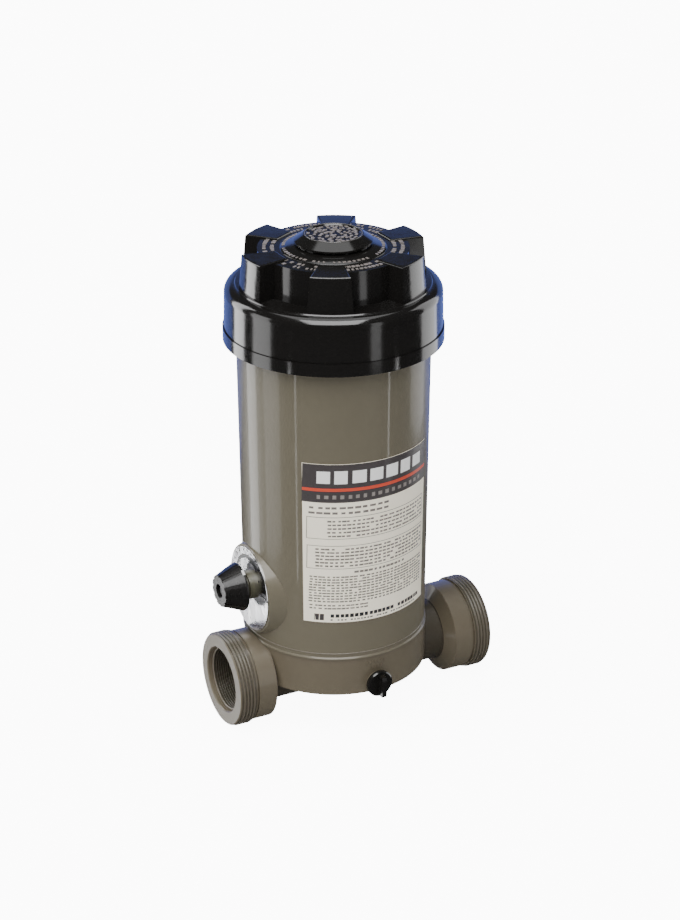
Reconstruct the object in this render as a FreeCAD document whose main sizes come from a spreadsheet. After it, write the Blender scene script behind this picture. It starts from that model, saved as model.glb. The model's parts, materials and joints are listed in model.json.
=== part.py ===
# Inline pool chlorinator: a tablet feeder that is plumbed into a pipe run.
# Millimetres. Origin: where the axis of the pipe ports crosses the axis of the vessel.
# +X runs along the ports towards the long inlet port, +Z up the vessel.
import FreeCAD, Part
import Sketcher
import math
import os

# Driving dimensions: alias, value, what it measures
DRIVING_SIZES = [
    ("tank_foot_radius", 83.5, "outside of the tank where it leaves the base"),
    ("tank_taper", 3.1, "how much wider the tank is under the band"),
    ("tank_wall", 5.0, "wall of the tank"),
    ("tank_length", 280.8, "top of the base to the underside of the black band"),
    ("seam_height", 37.0, "top of the base, where the tank is bonded on"),
    ("seam_ridge", 1.2, "how far the bead at the seam stands out"),
    ("seam_ridge_height", 2.4, "height of that bead"),
    ("spigot_length", 8.0, "how deep the tank sits in the base"),
    ("spigot_wall", 2.5, "wall of the tank inside the base's socket"),
    ("bond_gap", 0.1, "glue gap round the spigot"),
    ("band_height", 11.8, "height of the black band"),
    ("band_ledge", 7.9, "how far the band stands out from the neck"),
    ("band_lip", 3.6, "thickness of the lip that hangs under the band"),
    ("band_lip_depth", 3.0, "depth of that lip"),
    ("neck_wall", 3.6, "wall of the neck round the tank"),
    ("neck_length", 30.4, "height of the neck over the band"),
    ("neck_lip", 4.0, "thickness of the neck over the end of the tank"),
    ("mouth_relief", 0.4, "how much wider the neck is inside than the tank"),
    ("grate_thickness", 4.0, "thickness of the grate"),
    ("grate_gap", 0.4, "gap between the grate and the tank"),
    ("ledge_width", 6.4, "width of the ledge that carries the grate"),
    ("ledge_thickness", 4.0, "thickness of the ledge"),
    ("ledge_gap", 2.8, "room between the ledge and the pad of the valve"),
    ("grate_hole", 7.0, "radius of the grate's holes"),
    ("grate_inner_ring", 27.0, "radius of the inner ring of holes"),
    ("grate_outer_ring", 54.0, "radius of the outer ring of holes"),
    ("grate_inner_count", 6, "holes in the inner ring"),
    ("grate_outer_count", 12, "holes in the outer ring"),
    ("base_step", 0.2, "how far the drum of the base stands out from the tank"),
    ("base_bottom", 1.0, "underside of the drum"),
    ("base_wall", 5.0, "wall of the drum"),
    ("floor_thickness", 4.0, "floor of the drum"),
    ("pipe_bore", 23.5, "bore of the through pipe"),
    ("pipe_wall", 4.5, "wall of the through pipe"),
    ("outlet_stand", 32.7, "drum to the face of the outlet port"),
    ("inlet_stand", 60.5, "drum to the face of the inlet port"),
    ("port_length", 37.0, "length of a port fitting"),
    ("port_wall", 13.1, "wall of a port round its inside thread"),
    ("thread_step", 1.0, "how far the root of the outside thread stands out"),
    ("thread_length", 17.0, "length of the outside thread"),
    ("runout_width", 2.2, "groove behind the thread"),
    ("runout_depth", 1.4, "depth of that groove below the smooth part"),
    ("port_taper", 7.0, "length of the cone behind a port"),
    ("port_chamfer", 1.0, "chamfer at the face of a port"),
    ("mouth_step", 1.3, "how much wider the counterbore of a port is"),
    ("mouth_depth", 5.0, "depth of that counterbore"),
    ("socket_radius", 28.9, "root of the inside thread of a port"),
    ("socket_depth", 27.0, "depth of the inside thread from the face"),
    ("socket_cone", 5.0, "length of the cone from the socket to the bore"),
    ("dial_rise", 50.0, "seam to the middle of the dial boss"),
    ("valve_rise", 4.2, "how far the valve's axis lies above that middle"),
    ("boss_stand", 1.55, "how far the dial boss stands out"),
    ("boss_rim", 2.0, "rim of the boss round the dial plate"),
    ("boss_draft", 6.0, "how much wider the boss is at its foot"),
    ("boss_depth", 17.0, "depth of the cone of the boss"),
    ("pad_rim", 4.0, "rim of the pad inside round the valve's flange"),
    ("pad_stand", 7.05, "how far that pad stands in from the wall"),
    ("plate_radius", 39.0, "dial plate"),
    ("plate_thickness", 1.2, "thickness of the dial plate"),
    ("sleeve_wall", 4.25, "wall of the valve's neck round the stem"),
    ("body_fit", 0.3, "gap round the neck of the valve body"),
    ("body_wall", 4.5, "wall of the valve body round the rotor"),
    ("body_length", 22.0, "flange to the inner end of the valve body"),
    ("flange_rim", 5.0, "how far the flange stands out from the valve body"),
    ("flange_thickness", 4.0, "thickness of that flange"),
    ("gasket_thickness", 2.0, "gasket behind that flange"),
    ("locknut_wall", 2.3, "wall of the nut between plate and knob"),
    ("locknut_height", 4.4, "height of that nut"),
    ("locknut_thread_gap", 0.1, "gap between the nut and the neck"),
    ("neck_stand_out", 4.5, "how far the neck stands out of the nut"),
    ("stem_radius", 6.95, "shaft of the valve stem"),
    ("stem_fit", 0.05, "running gap of the stem and its rotor"),
    ("rotor_radius", 10.5, "rotor of the valve stem"),
    ("rotor_length", 18.0, "length of the rotor"),
    ("rotor_wall", 3.0, "wall of the rotor"),
    ("rotor_gap", 0.3, "gap at the shoulder of the rotor"),
    ("seal_groove_width", 2.4, "groove of a stem seal"),
    ("seal_section", 0.85, "half the thickness of a stem seal"),
    ("seal_inset", 4.0, "face of the pad to the inner stem seal"),
    ("seal_pitch", 7.0, "one stem seal to the other"),
    ("spigot_radius", 5.0, "end of the stem in the knob"),
    ("spigot_flat", 3.4, "stem axis to the flat of that end"),
    ("knob_fit", 0.1, "gap between the stem's end and the knob"),
    ("knob_gap", 0.8, "gap between the knob and the valve body"),
    ("knob_length", 20.0, "length of the knob"),
    ("knob_radius", 22.1, "large end of the knob"),
    ("knob_nose_radius", 14.6, "small end of the knob"),
    ("knob_rim", 1.6, "plain rim at the large end"),
    ("knob_recess_radius", 6.6, "hole in the nose of the knob"),
    ("knob_recess_depth", 5.0, "depth of that hole"),
    ("knob_web", 2.8, "web between that hole and the stem"),
    ("knob_flutes", 12, "number of flutes"),
    ("flute_width", 3.0, "width of a flute"),
    ("flute_depth", 1.1, "depth of a flute"),
    ("screw_head_radius", 4.6, "head of the knob screw"),
    ("screw_head_bevel", 0.4, "bevel of that head"),
    ("screw_head_height", 2.6, "height of that head"),
    ("screw_radius", 2.0, "shank of the knob screw"),
    ("screw_length", 12.0, "length of that shank"),
    ("screw_gap", 0.1, "gap round the shank"),
    ("window_radius", 4.5, "window in the rotor and in the valve body"),
    ("outlet_inset", 10.0, "inner end of the valve body to the outlet tube"),
    ("tube_bore", 5.0, "bore of the inner tubes"),
    ("tube_wall", 2.0, "wall of the inner tubes"),
    ("tube_fit", 0.1, "gap round a tube in its socket"),
    ("tube_gap", 0.3, "gap at the end of a tube in its socket"),
    ("tube_socket_depth", 7.0, "depth of such a socket"),
    ("stub_wall", 3.0, "wall of the stub and the sockets round a tube"),
    ("stub_length", 24.0, "valve axis to the end of that stub"),
    ("socket_stand", 8.0, "how far the sockets stand up from the pipe"),
    ("riser_place", 46.0, "vessel axis to the inlet riser"),
    ("riser_height", 26.0, "how far the inlet riser stands up from its socket"),
    ("screen_radius", 12.0, "outside of the inlet screen"),
    ("screen_wall", 2.0, "wall of the inlet screen"),
    ("screen_skirt", 10.0, "how far the screen sits down on the riser"),
    ("screen_rise", 14.0, "room above the riser in the screen"),
    ("slot_count", 8, "slots in the inlet screen"),
    ("slot_width", 3.0, "width of a slot"),
    ("slot_margin", 2.0, "ring left above and below the slots"),
    ("drain_rise", 10.0, "underside of the drum to the axis of the drain plug"),
    ("drain_bore", 5.9, "hole of the drain plug"),
    ("drain_fit", 0.1, "gap round the drain plug's shank"),
    ("drain_boss_margin", 0.4, "underside of the drum to the boss round the drain hole"),
    ("drain_boss_stand", 2.6, "how far that boss stands out from the drum"),
    ("drain_gasket_margin", 0.4, "rim of the boss round the gasket of the drain plug"),
    ("drain_gasket_thickness", 1.5, "thickness of that gasket"),
    ("drain_shank", 13.0, "length of the drain plug's shank"),
    ("drain_head_radius", 12.4, "head of the drain plug"),
    ("drain_head", 4.0, "thickness of that head"),
    ("drain_bevel", 1.0, "bevel of that head and of its wing"),
    ("wing_length", 20.0, "length of the wing on the drain plug"),
    ("wing_crown", 13.4, "length of the flat on top of the wing"),
    ("wing_width", 4.6, "width of that wing"),
    ("wing_height", 8.0, "how far the wing stands out"),
    ("label_rise", 38.6, "seam to the lower edge of the label"),
    ("label_height", 155.6, "height of the label"),
    ("label_angle", 88.0, "how far the label reaches round the tank, degrees"),
    ("label_direction", -92.0, "direction of the label's middle, degrees"),
    ("label_thickness", 0.3, "thickness of the label"),
    ("label_glue", 0.2, "glue under the label"),
    ("cover_gap", 0.3, "gap between the cover and the band"),
    ("thread_room", 1.6, "room for the thread between the neck and the cover"),
    ("skirt_wall", 5.2, "wall of the cover's skirt at its foot"),
    ("cover_draft", 0.8, "how much narrower the skirt is at its top"),
    ("shoulder_rise", 9.7, "top of the neck to the top of the cover's ring"),
    ("shoulder_width", 10.0, "skirt to the step round the lugs"),
    ("shoulder_round", 8.0, "rounding of that shoulder"),
    ("cover_step", 0.9, "height of that step"),
    ("ring_width", 18.8, "step to the foot of the hub"),
    ("cover_wall", 4.7, "wall of the cover"),
    ("hub_draft", 1.6, "how much narrower the hub is at its top"),
    ("hub_height", 30.7, "height of the hub over the ring"),
    ("lug_count", 6, "number of lugs"),
    ("lug_reach", 16.7, "how far a lug stands out from the hub at its foot"),
    ("lug_length", 36.5, "length of a lug at its foot"),
    ("lug_width", 40.0, "width of a lug at its foot"),
    ("lug_inner_width", 28.0, "width of its inner end at the foot"),
    ("lug_stand", 1.5, "how far the lugs stand up over the hub"),
    ("lug_sink", 1.7, "how deep the lugs start inside the ring"),
    ("lug_draft", 2.5, "how far each side of a lug leans in over its height"),
    ("lug_round", 1.4, "rounding of the lugs' edges"),
    ("lug_wall", 4.6, "wall of a lug over its hollow"),
    ("lug_side_wall", 6.0, "wall beside that hollow"),
    ("cover_clocking", 1.1, "where the screwed-down cover stops, degrees"),
    ("cover_seal_section", 2.65, "half the thickness of the cover seal"),
    ("seal_side_gap", 0.15, "gap beside the cover seal"),
    ("seal_pad_wall", 2.35, "wall of the cover inside its seal groove"),
    ("seat_gap", 1.0, "gap between the neck and the cover's seal pad"),
    ("cap_recess_radius", 26.3, "recess for the centre cap"),
    ("cap_recess_depth", 1.8, "depth of that recess"),
    ("cap_fit", 0.2, "gap round the cap's foot"),
    ("cap_neck_radius", 31.0, "neck of the cap under its edge"),
    ("cap_gap", 5.6, "shadow gap under the cap's edge"),
    ("cap_overhang", 3.5, "how far the cap's edge stands out"),
    ("cap_edge", 1.6, "thickness of that edge"),
    ("cap_rise", 5.4, "height of the cap's cone"),
    ("cap_top_radius", 26.4, "top of the centre cap"),
    ("cap_rim", 2.4, "rim round the dish in the cap"),
    ("cap_dish_depth", 0.8, "depth of that dish"),
]

# Names of the separate pieces, in the order they are built
PIECES = []

doc = FreeCAD.newDocument("Chlorinator")
sheet = doc.addObject("Spreadsheet::Sheet", "Sizes")
for row, (alias, value, meaning) in enumerate(DRIVING_SIZES, start=1):
    sheet.set(f"A{row}", meaning)
    sheet.set(f"B{row}", str(value))
    sheet.setAlias(f"B{row}", alias)
doc.recompute()


class Length:
    """A size that knows its number and the formula that ties it to the sheet."""

    def __init__(self, value, formula):
        self.value = value
        self.formula = formula

    @staticmethod
    def of(thing):
        return thing if isinstance(thing, Length) else Length(float(thing), str(thing))

    def join(self, other, sign, value):
        return Length(value, f"({self.formula} {sign} {Length.of(other).formula})")

    def __add__(self, other):
        return self.join(other, "+", self.value + Length.of(other).value)

    def __sub__(self, other):
        return self.join(other, "-", self.value - Length.of(other).value)

    def __mul__(self, other):
        return self.join(other, "*", self.value * Length.of(other).value)

    def __truediv__(self, other):
        return self.join(other, "/", self.value / Length.of(other).value)

    def __neg__(self):
        return Length(-self.value, f"(-1 * {self.formula})")

    def root(self):
        return Length(math.sqrt(self.value), f"sqrt({self.formula})")


def size(alias):
    return Length(float(sheet.get(alias)), f"Sizes.{alias}")


ZERO = Length(0.0, "0")


def bind(item, prop, length):
    item.setExpression(prop, Length.of(length).formula)


# Sketches

PLANE_ROLES = {"side": "XZ_Plane", "top": "XY_Plane", "end": "YZ_Plane"}


def plane_of(body, view):
    role = PLANE_ROLES[view]
    return next(item for item in body.Origin.OriginFeatures if item.Role == role)


def new_sketch(body, name, view, height=None):
    sketch = body.newObject("Sketcher::SketchObject", name)
    sketch.AttachmentSupport = [(plane_of(body, view), "")]
    sketch.MapMode = "FlatFace"
    if height is not None:
        bind(sketch, "AttachmentOffset.Base.z", height)
    return sketch


def pin_point(sketch, edge, end, x, y):
    """Tie one end of an edge to the sketch's origin with two bound distances."""
    for kind, length in (("DistanceX", x), ("DistanceY", y)):
        if abs(length.value) < 1e-9 and length.formula == "0":
            where = -2 if kind == "DistanceX" else -1
            sketch.addConstraint(Sketcher.Constraint("PointOnObject", edge, end, where))
            continue
        index = sketch.addConstraint(Sketcher.Constraint(kind, -1, 1, edge, end, length.value))
        bind(sketch, f"Constraints[{index}]", length)


def draw_outline(sketch, points):
    """Closed outline of straight edges through points given as pairs of lengths."""
    points = [(Length.of(x), Length.of(y)) for x, y in points]
    first = sketch.GeometryCount
    for index, (x, y) in enumerate(points):
        next_x, next_y = points[(index + 1) % len(points)]
        start = FreeCAD.Vector(x.value, y.value, 0)
        end = FreeCAD.Vector(next_x.value, next_y.value, 0)
        sketch.addGeometry(Part.LineSegment(start, end), False)
    for index, (x, y) in enumerate(points):
        edge = first + index
        following = first + (index + 1) % len(points)
        sketch.addConstraint(Sketcher.Constraint("Coincident", edge, 2, following, 1))
        pin_point(sketch, edge, 1, x, y)


def draw_circle(sketch, x, y, radius):
    x, y = Length.of(x), Length.of(y)
    circle = Part.Circle(FreeCAD.Vector(x.value, y.value, 0), FreeCAD.Vector(0, 0, 1), radius.value)
    edge = sketch.addGeometry(circle, False)
    pin_point(sketch, edge, 3, x, y)
    index = sketch.addConstraint(Sketcher.Constraint("Radius", edge, radius.value))
    bind(sketch, f"Constraints[{index}]", radius)


# Features of a body

def new_body(name):
    return doc.addObject("PartDesign::Body", name)


def revolve(body, name, sketch, axis, cut=False, angle=None):
    """Turn a sketch about its own V_Axis or H_Axis."""
    kind = "PartDesign::Groove" if cut else "PartDesign::Revolution"
    feature = body.newObject(kind, name)
    feature.Profile = sketch
    feature.ReferenceAxis = (sketch, [axis])
    if angle is None:
        feature.Angle = 360.0
    else:
        bind(feature, "Angle", angle)
        feature.Midplane = True
    return feature


def turned(name, points, view="side", axis="V_Axis"):
    """A body turned from one outline."""
    body = new_body(name)
    sketch = new_sketch(body, name + "_profile", view)
    draw_outline(sketch, points)
    revolve(body, name + "_turning", sketch, axis)
    return body


def pad(body, name, sketch, length, both_ways=False):
    feature = body.newObject("PartDesign::Pad", name)
    feature.Profile = sketch
    feature.Midplane = both_ways
    bind(feature, "Length", length)
    body.Tip = feature
    return feature


def pocket(body, name, sketch, length, reverse=False, both_ways=False):
    feature = body.newObject("PartDesign::Pocket", name)
    feature.Profile = sketch
    feature.Midplane = both_ways
    feature.Reversed = reverse
    bind(feature, "Length", length)
    return feature


def polar(body, name, original, sketch, axis, count):
    feature = body.newObject("PartDesign::PolarPattern", name)
    feature.Originals = [original]
    feature.Axis = (sketch, [axis])
    feature.Angle = 360.0
    bind(feature, "Occurrences", count)
    body.Tip = feature
    return feature


def edges_where(feature, test):
    """Names of the edges of a feature whose middle point and curve pass a test."""
    names = []
    for index, edge in enumerate(feature.Shape.Edges, start=1):
        middle = edge.valueAt((edge.FirstParameter + edge.LastParameter) / 2)
        if test(edge, middle):
            names.append(f"Edge{index}")
    return names


def round_edges(body, name, feature, names, radius):
    rounding = body.newObject("PartDesign::Fillet", name)
    rounding.Base = (feature, names)
    bind(rounding, "Radius", radius)
    body.Tip = rounding
    return rounding


# Part primitives and booleans

def rod(name, radius, length, place=(0, 0, 0), direction="Z"):
    """A cylinder that starts at place and runs along a signed row axis."""
    cylinder = doc.addObject("Part::Cylinder", name)
    bind(cylinder, "Radius", radius)
    bind(cylinder, "Height", length)
    turn_towards(cylinder, direction)
    move_to(cylinder, place)
    return cylinder


def turn_towards(item, direction):
    turns = {
        "Z": FreeCAD.Rotation(),
        "-Z": FreeCAD.Rotation(FreeCAD.Vector(1, 0, 0), 180),
        "X": FreeCAD.Rotation(FreeCAD.Vector(0, 1, 0), 90),
        "-X": FreeCAD.Rotation(FreeCAD.Vector(0, 1, 0), -90),
        "-Y": FreeCAD.Rotation(FreeCAD.Vector(1, 0, 0), 90),
    }
    item.Placement = FreeCAD.Placement(FreeCAD.Vector(), turns[direction])


def move_to(item, place):
    for letter, distance in zip("xyz", place):
        if Length.of(distance).formula != "0":
            bind(item, f"Placement.Base.{letter}", distance)


def swing(item, degrees):
    """Turn an item about the vessel axis."""
    item.Placement = FreeCAD.Placement(FreeCAD.Vector(), FreeCAD.Rotation(FreeCAD.Vector(0, 0, 1), 0))
    bind(item, "Placement.Rotation.Angle", degrees)


def fused(name, *items):
    fusion = doc.addObject("Part::MultiFuse", name)
    fusion.Shapes = list(items)
    return fusion


def cut(name, kept, removed):
    difference = doc.addObject("Part::Cut", name)
    difference.Base = kept
    difference.Tool = removed
    return difference


def keep(item, label):
    """Name a finished piece and put it on the list of pieces."""
    item.Label = label
    PIECES.append(item)
    return item


# Sizes that more than one piece shares

collar_height = size("seam_height") + size("tank_length")
tank_top_radius = size("tank_foot_radius") + size("tank_taper")
tank_spigot_radius = size("tank_foot_radius") - size("tank_wall") + size("spigot_wall")
tank_foot = size("seam_height") - size("spigot_length")
tank_slope = size("tank_taper") / size("tank_length")


def tank_outside(height):
    """Outside radius of the tank at a height above the seam."""
    return size("tank_foot_radius") + tank_slope * (height - size("seam_height"))


def tank_inside(height):
    return tank_outside(height) - size("tank_wall")


# The collar on the tank, and the cover that screws on it
band_top = collar_height + size("band_height")
neck_radius = tank_top_radius + size("neck_wall")
neck_top = band_top + size("neck_length")
neck_bore = tank_inside(collar_height) + size("mouth_relief")
tank_end = neck_top - size("neck_lip")
band_radius = neck_radius + size("band_ledge")
skirt_bore = neck_radius + size("thread_room")
cover_foot = band_top + size("cover_gap")
cover_radius = skirt_bore + size("skirt_wall")
cover_shoulder = neck_top + size("shoulder_rise")
cover_step_radius = cover_radius - size("shoulder_width")
hub_foot_radius = cover_step_radius - size("ring_width")
hub_top = cover_shoulder + size("hub_height")
lug_radius = hub_foot_radius + size("lug_reach")
lug_inner = lug_radius - size("lug_length")
lug_top = hub_top + size("lug_stand")
seal_radius = (neck_bore + neck_radius) / 2

# The base with its pipe and drain
base_radius = size("tank_foot_radius") + size("base_step")
drum_bore = base_radius - size("base_wall")
chamber_floor = size("base_bottom") + size("floor_thickness")
pipe_radius = size("pipe_bore") + size("pipe_wall")
outlet_reach = base_radius + size("outlet_stand")
inlet_reach = base_radius + size("inlet_stand")
port_radius = size("socket_radius") + size("port_wall")
thread_root_radius = port_radius + size("thread_step")
mouth_radius = size("socket_radius") + size("mouth_step")
drain_height = size("base_bottom") + size("drain_rise")
drain_boss_radius = size("drain_rise") - size("drain_boss_margin")
drain_boss_face = base_radius + size("drain_boss_stand")
drain_gasket_face = drain_boss_face + size("drain_gasket_thickness")
drain_head_face = drain_gasket_face + size("drain_head")

# The dosing valve, measured out from the vessel axis
dial_height = size("seam_height") + size("dial_rise")
valve_height = dial_height + size("valve_rise")
boss_face = tank_outside(dial_height) + size("boss_stand")
boss_radius = size("plate_radius") + size("boss_rim")
plate_face = boss_face + size("plate_thickness")
locknut_face = plate_face + size("locknut_height")
neck_end = locknut_face + size("neck_stand_out")
knob_foot = neck_end + size("knob_gap")
knob_end = knob_foot + size("knob_length")
knob_hole_floor = knob_end - size("knob_recess_depth")
spigot_end = knob_hole_floor - size("knob_web")
body_neck_radius = size("stem_radius") + size("sleeve_wall")
neck_hole = body_neck_radius + size("body_fit")
body_radius = size("rotor_radius") + size("body_wall")
body_flange_radius = body_radius + size("flange_rim")
pad_radius = body_flange_radius + size("pad_rim")
pad_face = tank_inside(dial_height) - size("pad_stand")
flange_outer = pad_face - size("gasket_thickness")
flange_inner = flange_outer - size("flange_thickness")
body_end = flange_inner - size("body_length")
rotor_shoulder = body_end + size("rotor_length") + size("rotor_gap")
inner_seal_place = pad_face + size("seal_inset")
outer_seal_place = inner_seal_place + size("seal_pitch")
seal_groove_radius = size("stem_radius") - size("seal_section") * 2
outlet_place = body_end + size("outlet_inset")

# The inner tubes and the grate over them
tube_radius = size("tube_bore") + size("tube_wall")
stub_radius = tube_radius + size("stub_wall")
stub_end = valve_height - size("stub_length")
socket_top = pipe_radius + size("socket_stand")
riser_top = socket_top + size("riser_height")
grate_height = valve_height + pad_radius + size("ledge_gap") + size("ledge_thickness")
ledge_bore = tank_inside(grate_height) - size("ledge_width")


def build_tank():
    """Tapered tube with a ledge for the grate and the boss of the dial."""
    outside = turned("TankOutside", [
        (ZERO, tank_foot),
        (tank_spigot_radius, tank_foot),
        (tank_spigot_radius, size("seam_height")),
        (size("tank_foot_radius") + size("seam_ridge"), size("seam_height")),
        (size("tank_foot_radius") + size("seam_ridge"), size("seam_height") + size("seam_ridge_height") / 2),
        (tank_outside(size("seam_height") + size("seam_ridge_height")),
         size("seam_height") + size("seam_ridge_height")),
        (tank_top_radius, collar_height),
        (tank_top_radius, tank_end),
        (ZERO, tank_end),
    ])
    ledge_bottom = grate_height - size("ledge_thickness")
    over_end = tank_end + size("neck_lip")
    under_foot = tank_foot - size("spigot_wall")
    inside = turned("TankInside", [
        (ZERO, under_foot),
        (tank_inside(size("seam_height")), under_foot),
        (tank_inside(size("seam_height")), size("seam_height")),
        (tank_inside(ledge_bottom), ledge_bottom),
        (ledge_bore, ledge_bottom),
        (ledge_bore, grate_height),
        (tank_inside(grate_height), grate_height),
        (tank_inside(collar_height), collar_height),
        (tank_inside(collar_height), over_end),
        (ZERO, over_end),
    ])
    boss = doc.addObject("Part::Cone", "DialBoss")
    bind(boss, "Radius1", boss_radius + size("boss_draft"))
    bind(boss, "Radius2", boss_radius)
    bind(boss, "Height", size("boss_depth"))
    turn_towards(boss, "-X")
    move_to(boss, (size("boss_depth") - boss_face, ZERO, dial_height))
    shell = cut("TankShell", fused("TankBody", outside, boss), inside)
    pad_depth = size("tank_foot_radius") - size("tank_wall") / 2 - pad_face
    inner_pad = rod("ValvePad", pad_radius, pad_depth,
                    (-pad_face, ZERO, valve_height), "-X")
    valve_hole = rod("ValveHole", neck_hole, boss_face,
                     (-pad_face + size("tank_wall"), ZERO, valve_height), "-X")
    keep(cut("Tank", fused("TankWithPad", shell, inner_pad), valve_hole), "tank")


def port_outline(reach, sign):
    """Outside of one port fitting, from its face back to the pipe."""
    def along(distance):
        return (reach - distance) * sign

    groove = port_radius - size("runout_depth")
    groove_end = size("thread_length") + size("runout_width")
    return [
        (along(ZERO), ZERO),
        (along(ZERO), thread_root_radius - size("port_chamfer")),
        (along(size("port_chamfer")), thread_root_radius),
        (along(size("thread_length")), thread_root_radius),
        (along(size("thread_length")), groove),
        (along(groove_end), groove),
        (along(groove_end), port_radius),
        (along(size("port_length")), port_radius),
        (along(size("port_length") + size("port_taper")), pipe_radius),
        (along(size("port_length") + size("port_taper")), ZERO),
    ]


def port_hollow(reach, sign):
    """Half of the waterway's outline, from the vessel axis out past one port."""
    def along(distance):
        return (reach - distance) * sign

    return [
        (along(size("socket_depth") + size("socket_cone")), size("pipe_bore")),
        (along(size("socket_depth")), size("socket_radius")),
        (along(size("mouth_depth")), size("socket_radius")),
        (along(size("mouth_depth")), mouth_radius),
        (along(size("port_chamfer")), mouth_radius),
        (along(ZERO), mouth_radius + size("port_chamfer")),
    ]


def build_base():
    """Moulded drum with the through pipe, its two ports and the drain boss."""
    height = size("seam_height") - size("base_bottom")
    drum = rod("Drum", base_radius, height, (ZERO, ZERO, size("base_bottom")))
    outlet_port = turned("OutletPort", port_outline(outlet_reach, -1), "side", "H_Axis")
    inlet_port = turned("InletPort", port_outline(inlet_reach, 1), "side", "H_Axis")
    drain_boss = rod("DrainBoss", drain_boss_radius, size("base_wall") + size("floor_thickness"),
                     (ZERO, size("base_wall") + size("floor_thickness") - drain_boss_face,
                      drain_height), "-Y")
    chamber = rod("Chamber", drum_bore, height, (ZERO, ZERO, chamber_floor))
    spigot_socket = rod("SpigotSocket", tank_spigot_radius + size("bond_gap"), height,
                        (ZERO, ZERO, tank_foot - size("bond_gap")))
    tank_room = rod("TankRoom", size("tank_foot_radius") + size("seam_ridge") + size("cover_gap"),
                    height, (ZERO, ZERO, size("seam_height")))
    shell = cut("DrumShell", fused("DrumAndPorts", drum, outlet_port, inlet_port, drain_boss),
                fused("DrumRoom", chamber, spigot_socket, tank_room))
    pipe_start = size("port_length") + size("port_taper") / 2 - outlet_reach
    pipe_length = inlet_reach - size("port_length") - size("port_taper") / 2 - pipe_start
    pipe = rod("ThroughPipe", pipe_radius, pipe_length, (pipe_start, ZERO, ZERO), "X")
    outlet_socket = rod("OutletSocket", stub_radius, socket_top,
                        (-outlet_place, ZERO, ZERO))
    riser_socket = rod("RiserSocket", stub_radius, socket_top,
                       (size("riser_place"), ZERO, ZERO))
    body = fused("BaseBody", shell, pipe, outlet_socket, riser_socket)

    outlet_half = port_hollow(outlet_reach, -1)
    inlet_half = port_hollow(inlet_reach, 1)
    outline = [(-outlet_reach, ZERO)] + outlet_half[::-1]
    outline += inlet_half + [(inlet_reach, ZERO)]
    waterway = turned("Waterway", outline, "side", "H_Axis")
    tube_hole = tube_radius + size("tube_fit")
    socket_floor = socket_top - size("tube_socket_depth")
    tube_holes = []
    for name, place in (("Outlet", -outlet_place), ("Riser", size("riser_place"))):
        tube_holes.append(rod(name + "TubeSocket", tube_hole, size("tube_socket_depth") * 2,
                              (place, ZERO, socket_floor)))
        tube_holes.append(rod(name + "PipeHole", size("tube_bore"), socket_top,
                              (place, ZERO, ZERO)))
    drain_hole = rod("DrainHole", size("drain_bore"), size("base_wall") * 4,
                     (ZERO, size("base_wall") * 3 - drain_boss_face, drain_height), "-Y")
    keep(cut("Base", body, fused("BaseHoles", waterway, drain_hole, *tube_holes)), "base")


def build_neck_collar():
    """Black collar bonded over the tank's end: the band and the neck of the cover."""
    lip_top = collar_height + size("band_lip_depth")
    keep(turned("NeckCollar", [
        (tank_top_radius, lip_top),
        (band_radius - size("band_lip"), lip_top),
        (band_radius - size("band_lip"), collar_height),
        (band_radius, collar_height),
        (band_radius, band_top),
        (neck_radius, band_top),
        (neck_radius, neck_top),
        (neck_bore, neck_top),
        (neck_bore, tank_end),
        (tank_top_radius, tank_end),
    ]), "neck_collar")


def build_grate():
    """Perforated plate that holds the tablets above the valve."""
    body = new_body("Grate")
    disc = new_sketch(body, "GrateDisc", "top", grate_height)
    draw_circle(disc, 0, 0, tank_inside(grate_height) - size("grate_gap"))
    pad(body, "GratePlate", disc, size("grate_thickness"))
    for name in ("inner", "outer"):
        radius, count = size(f"grate_{name}_ring"), size(f"grate_{name}_count")
        hole = new_sketch(body, f"Grate_{name}_hole", "top", grate_height + size("grate_thickness"))
        draw_circle(hole, radius, 0, size("grate_hole"))
        drilled = pocket(body, f"Grate_{name}_drilling", hole, size("grate_thickness"))
        polar(body, f"Grate_{name}_holes", drilled, hole, "N_Axis", count)
    keep(body, "tablet_grate")


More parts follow.
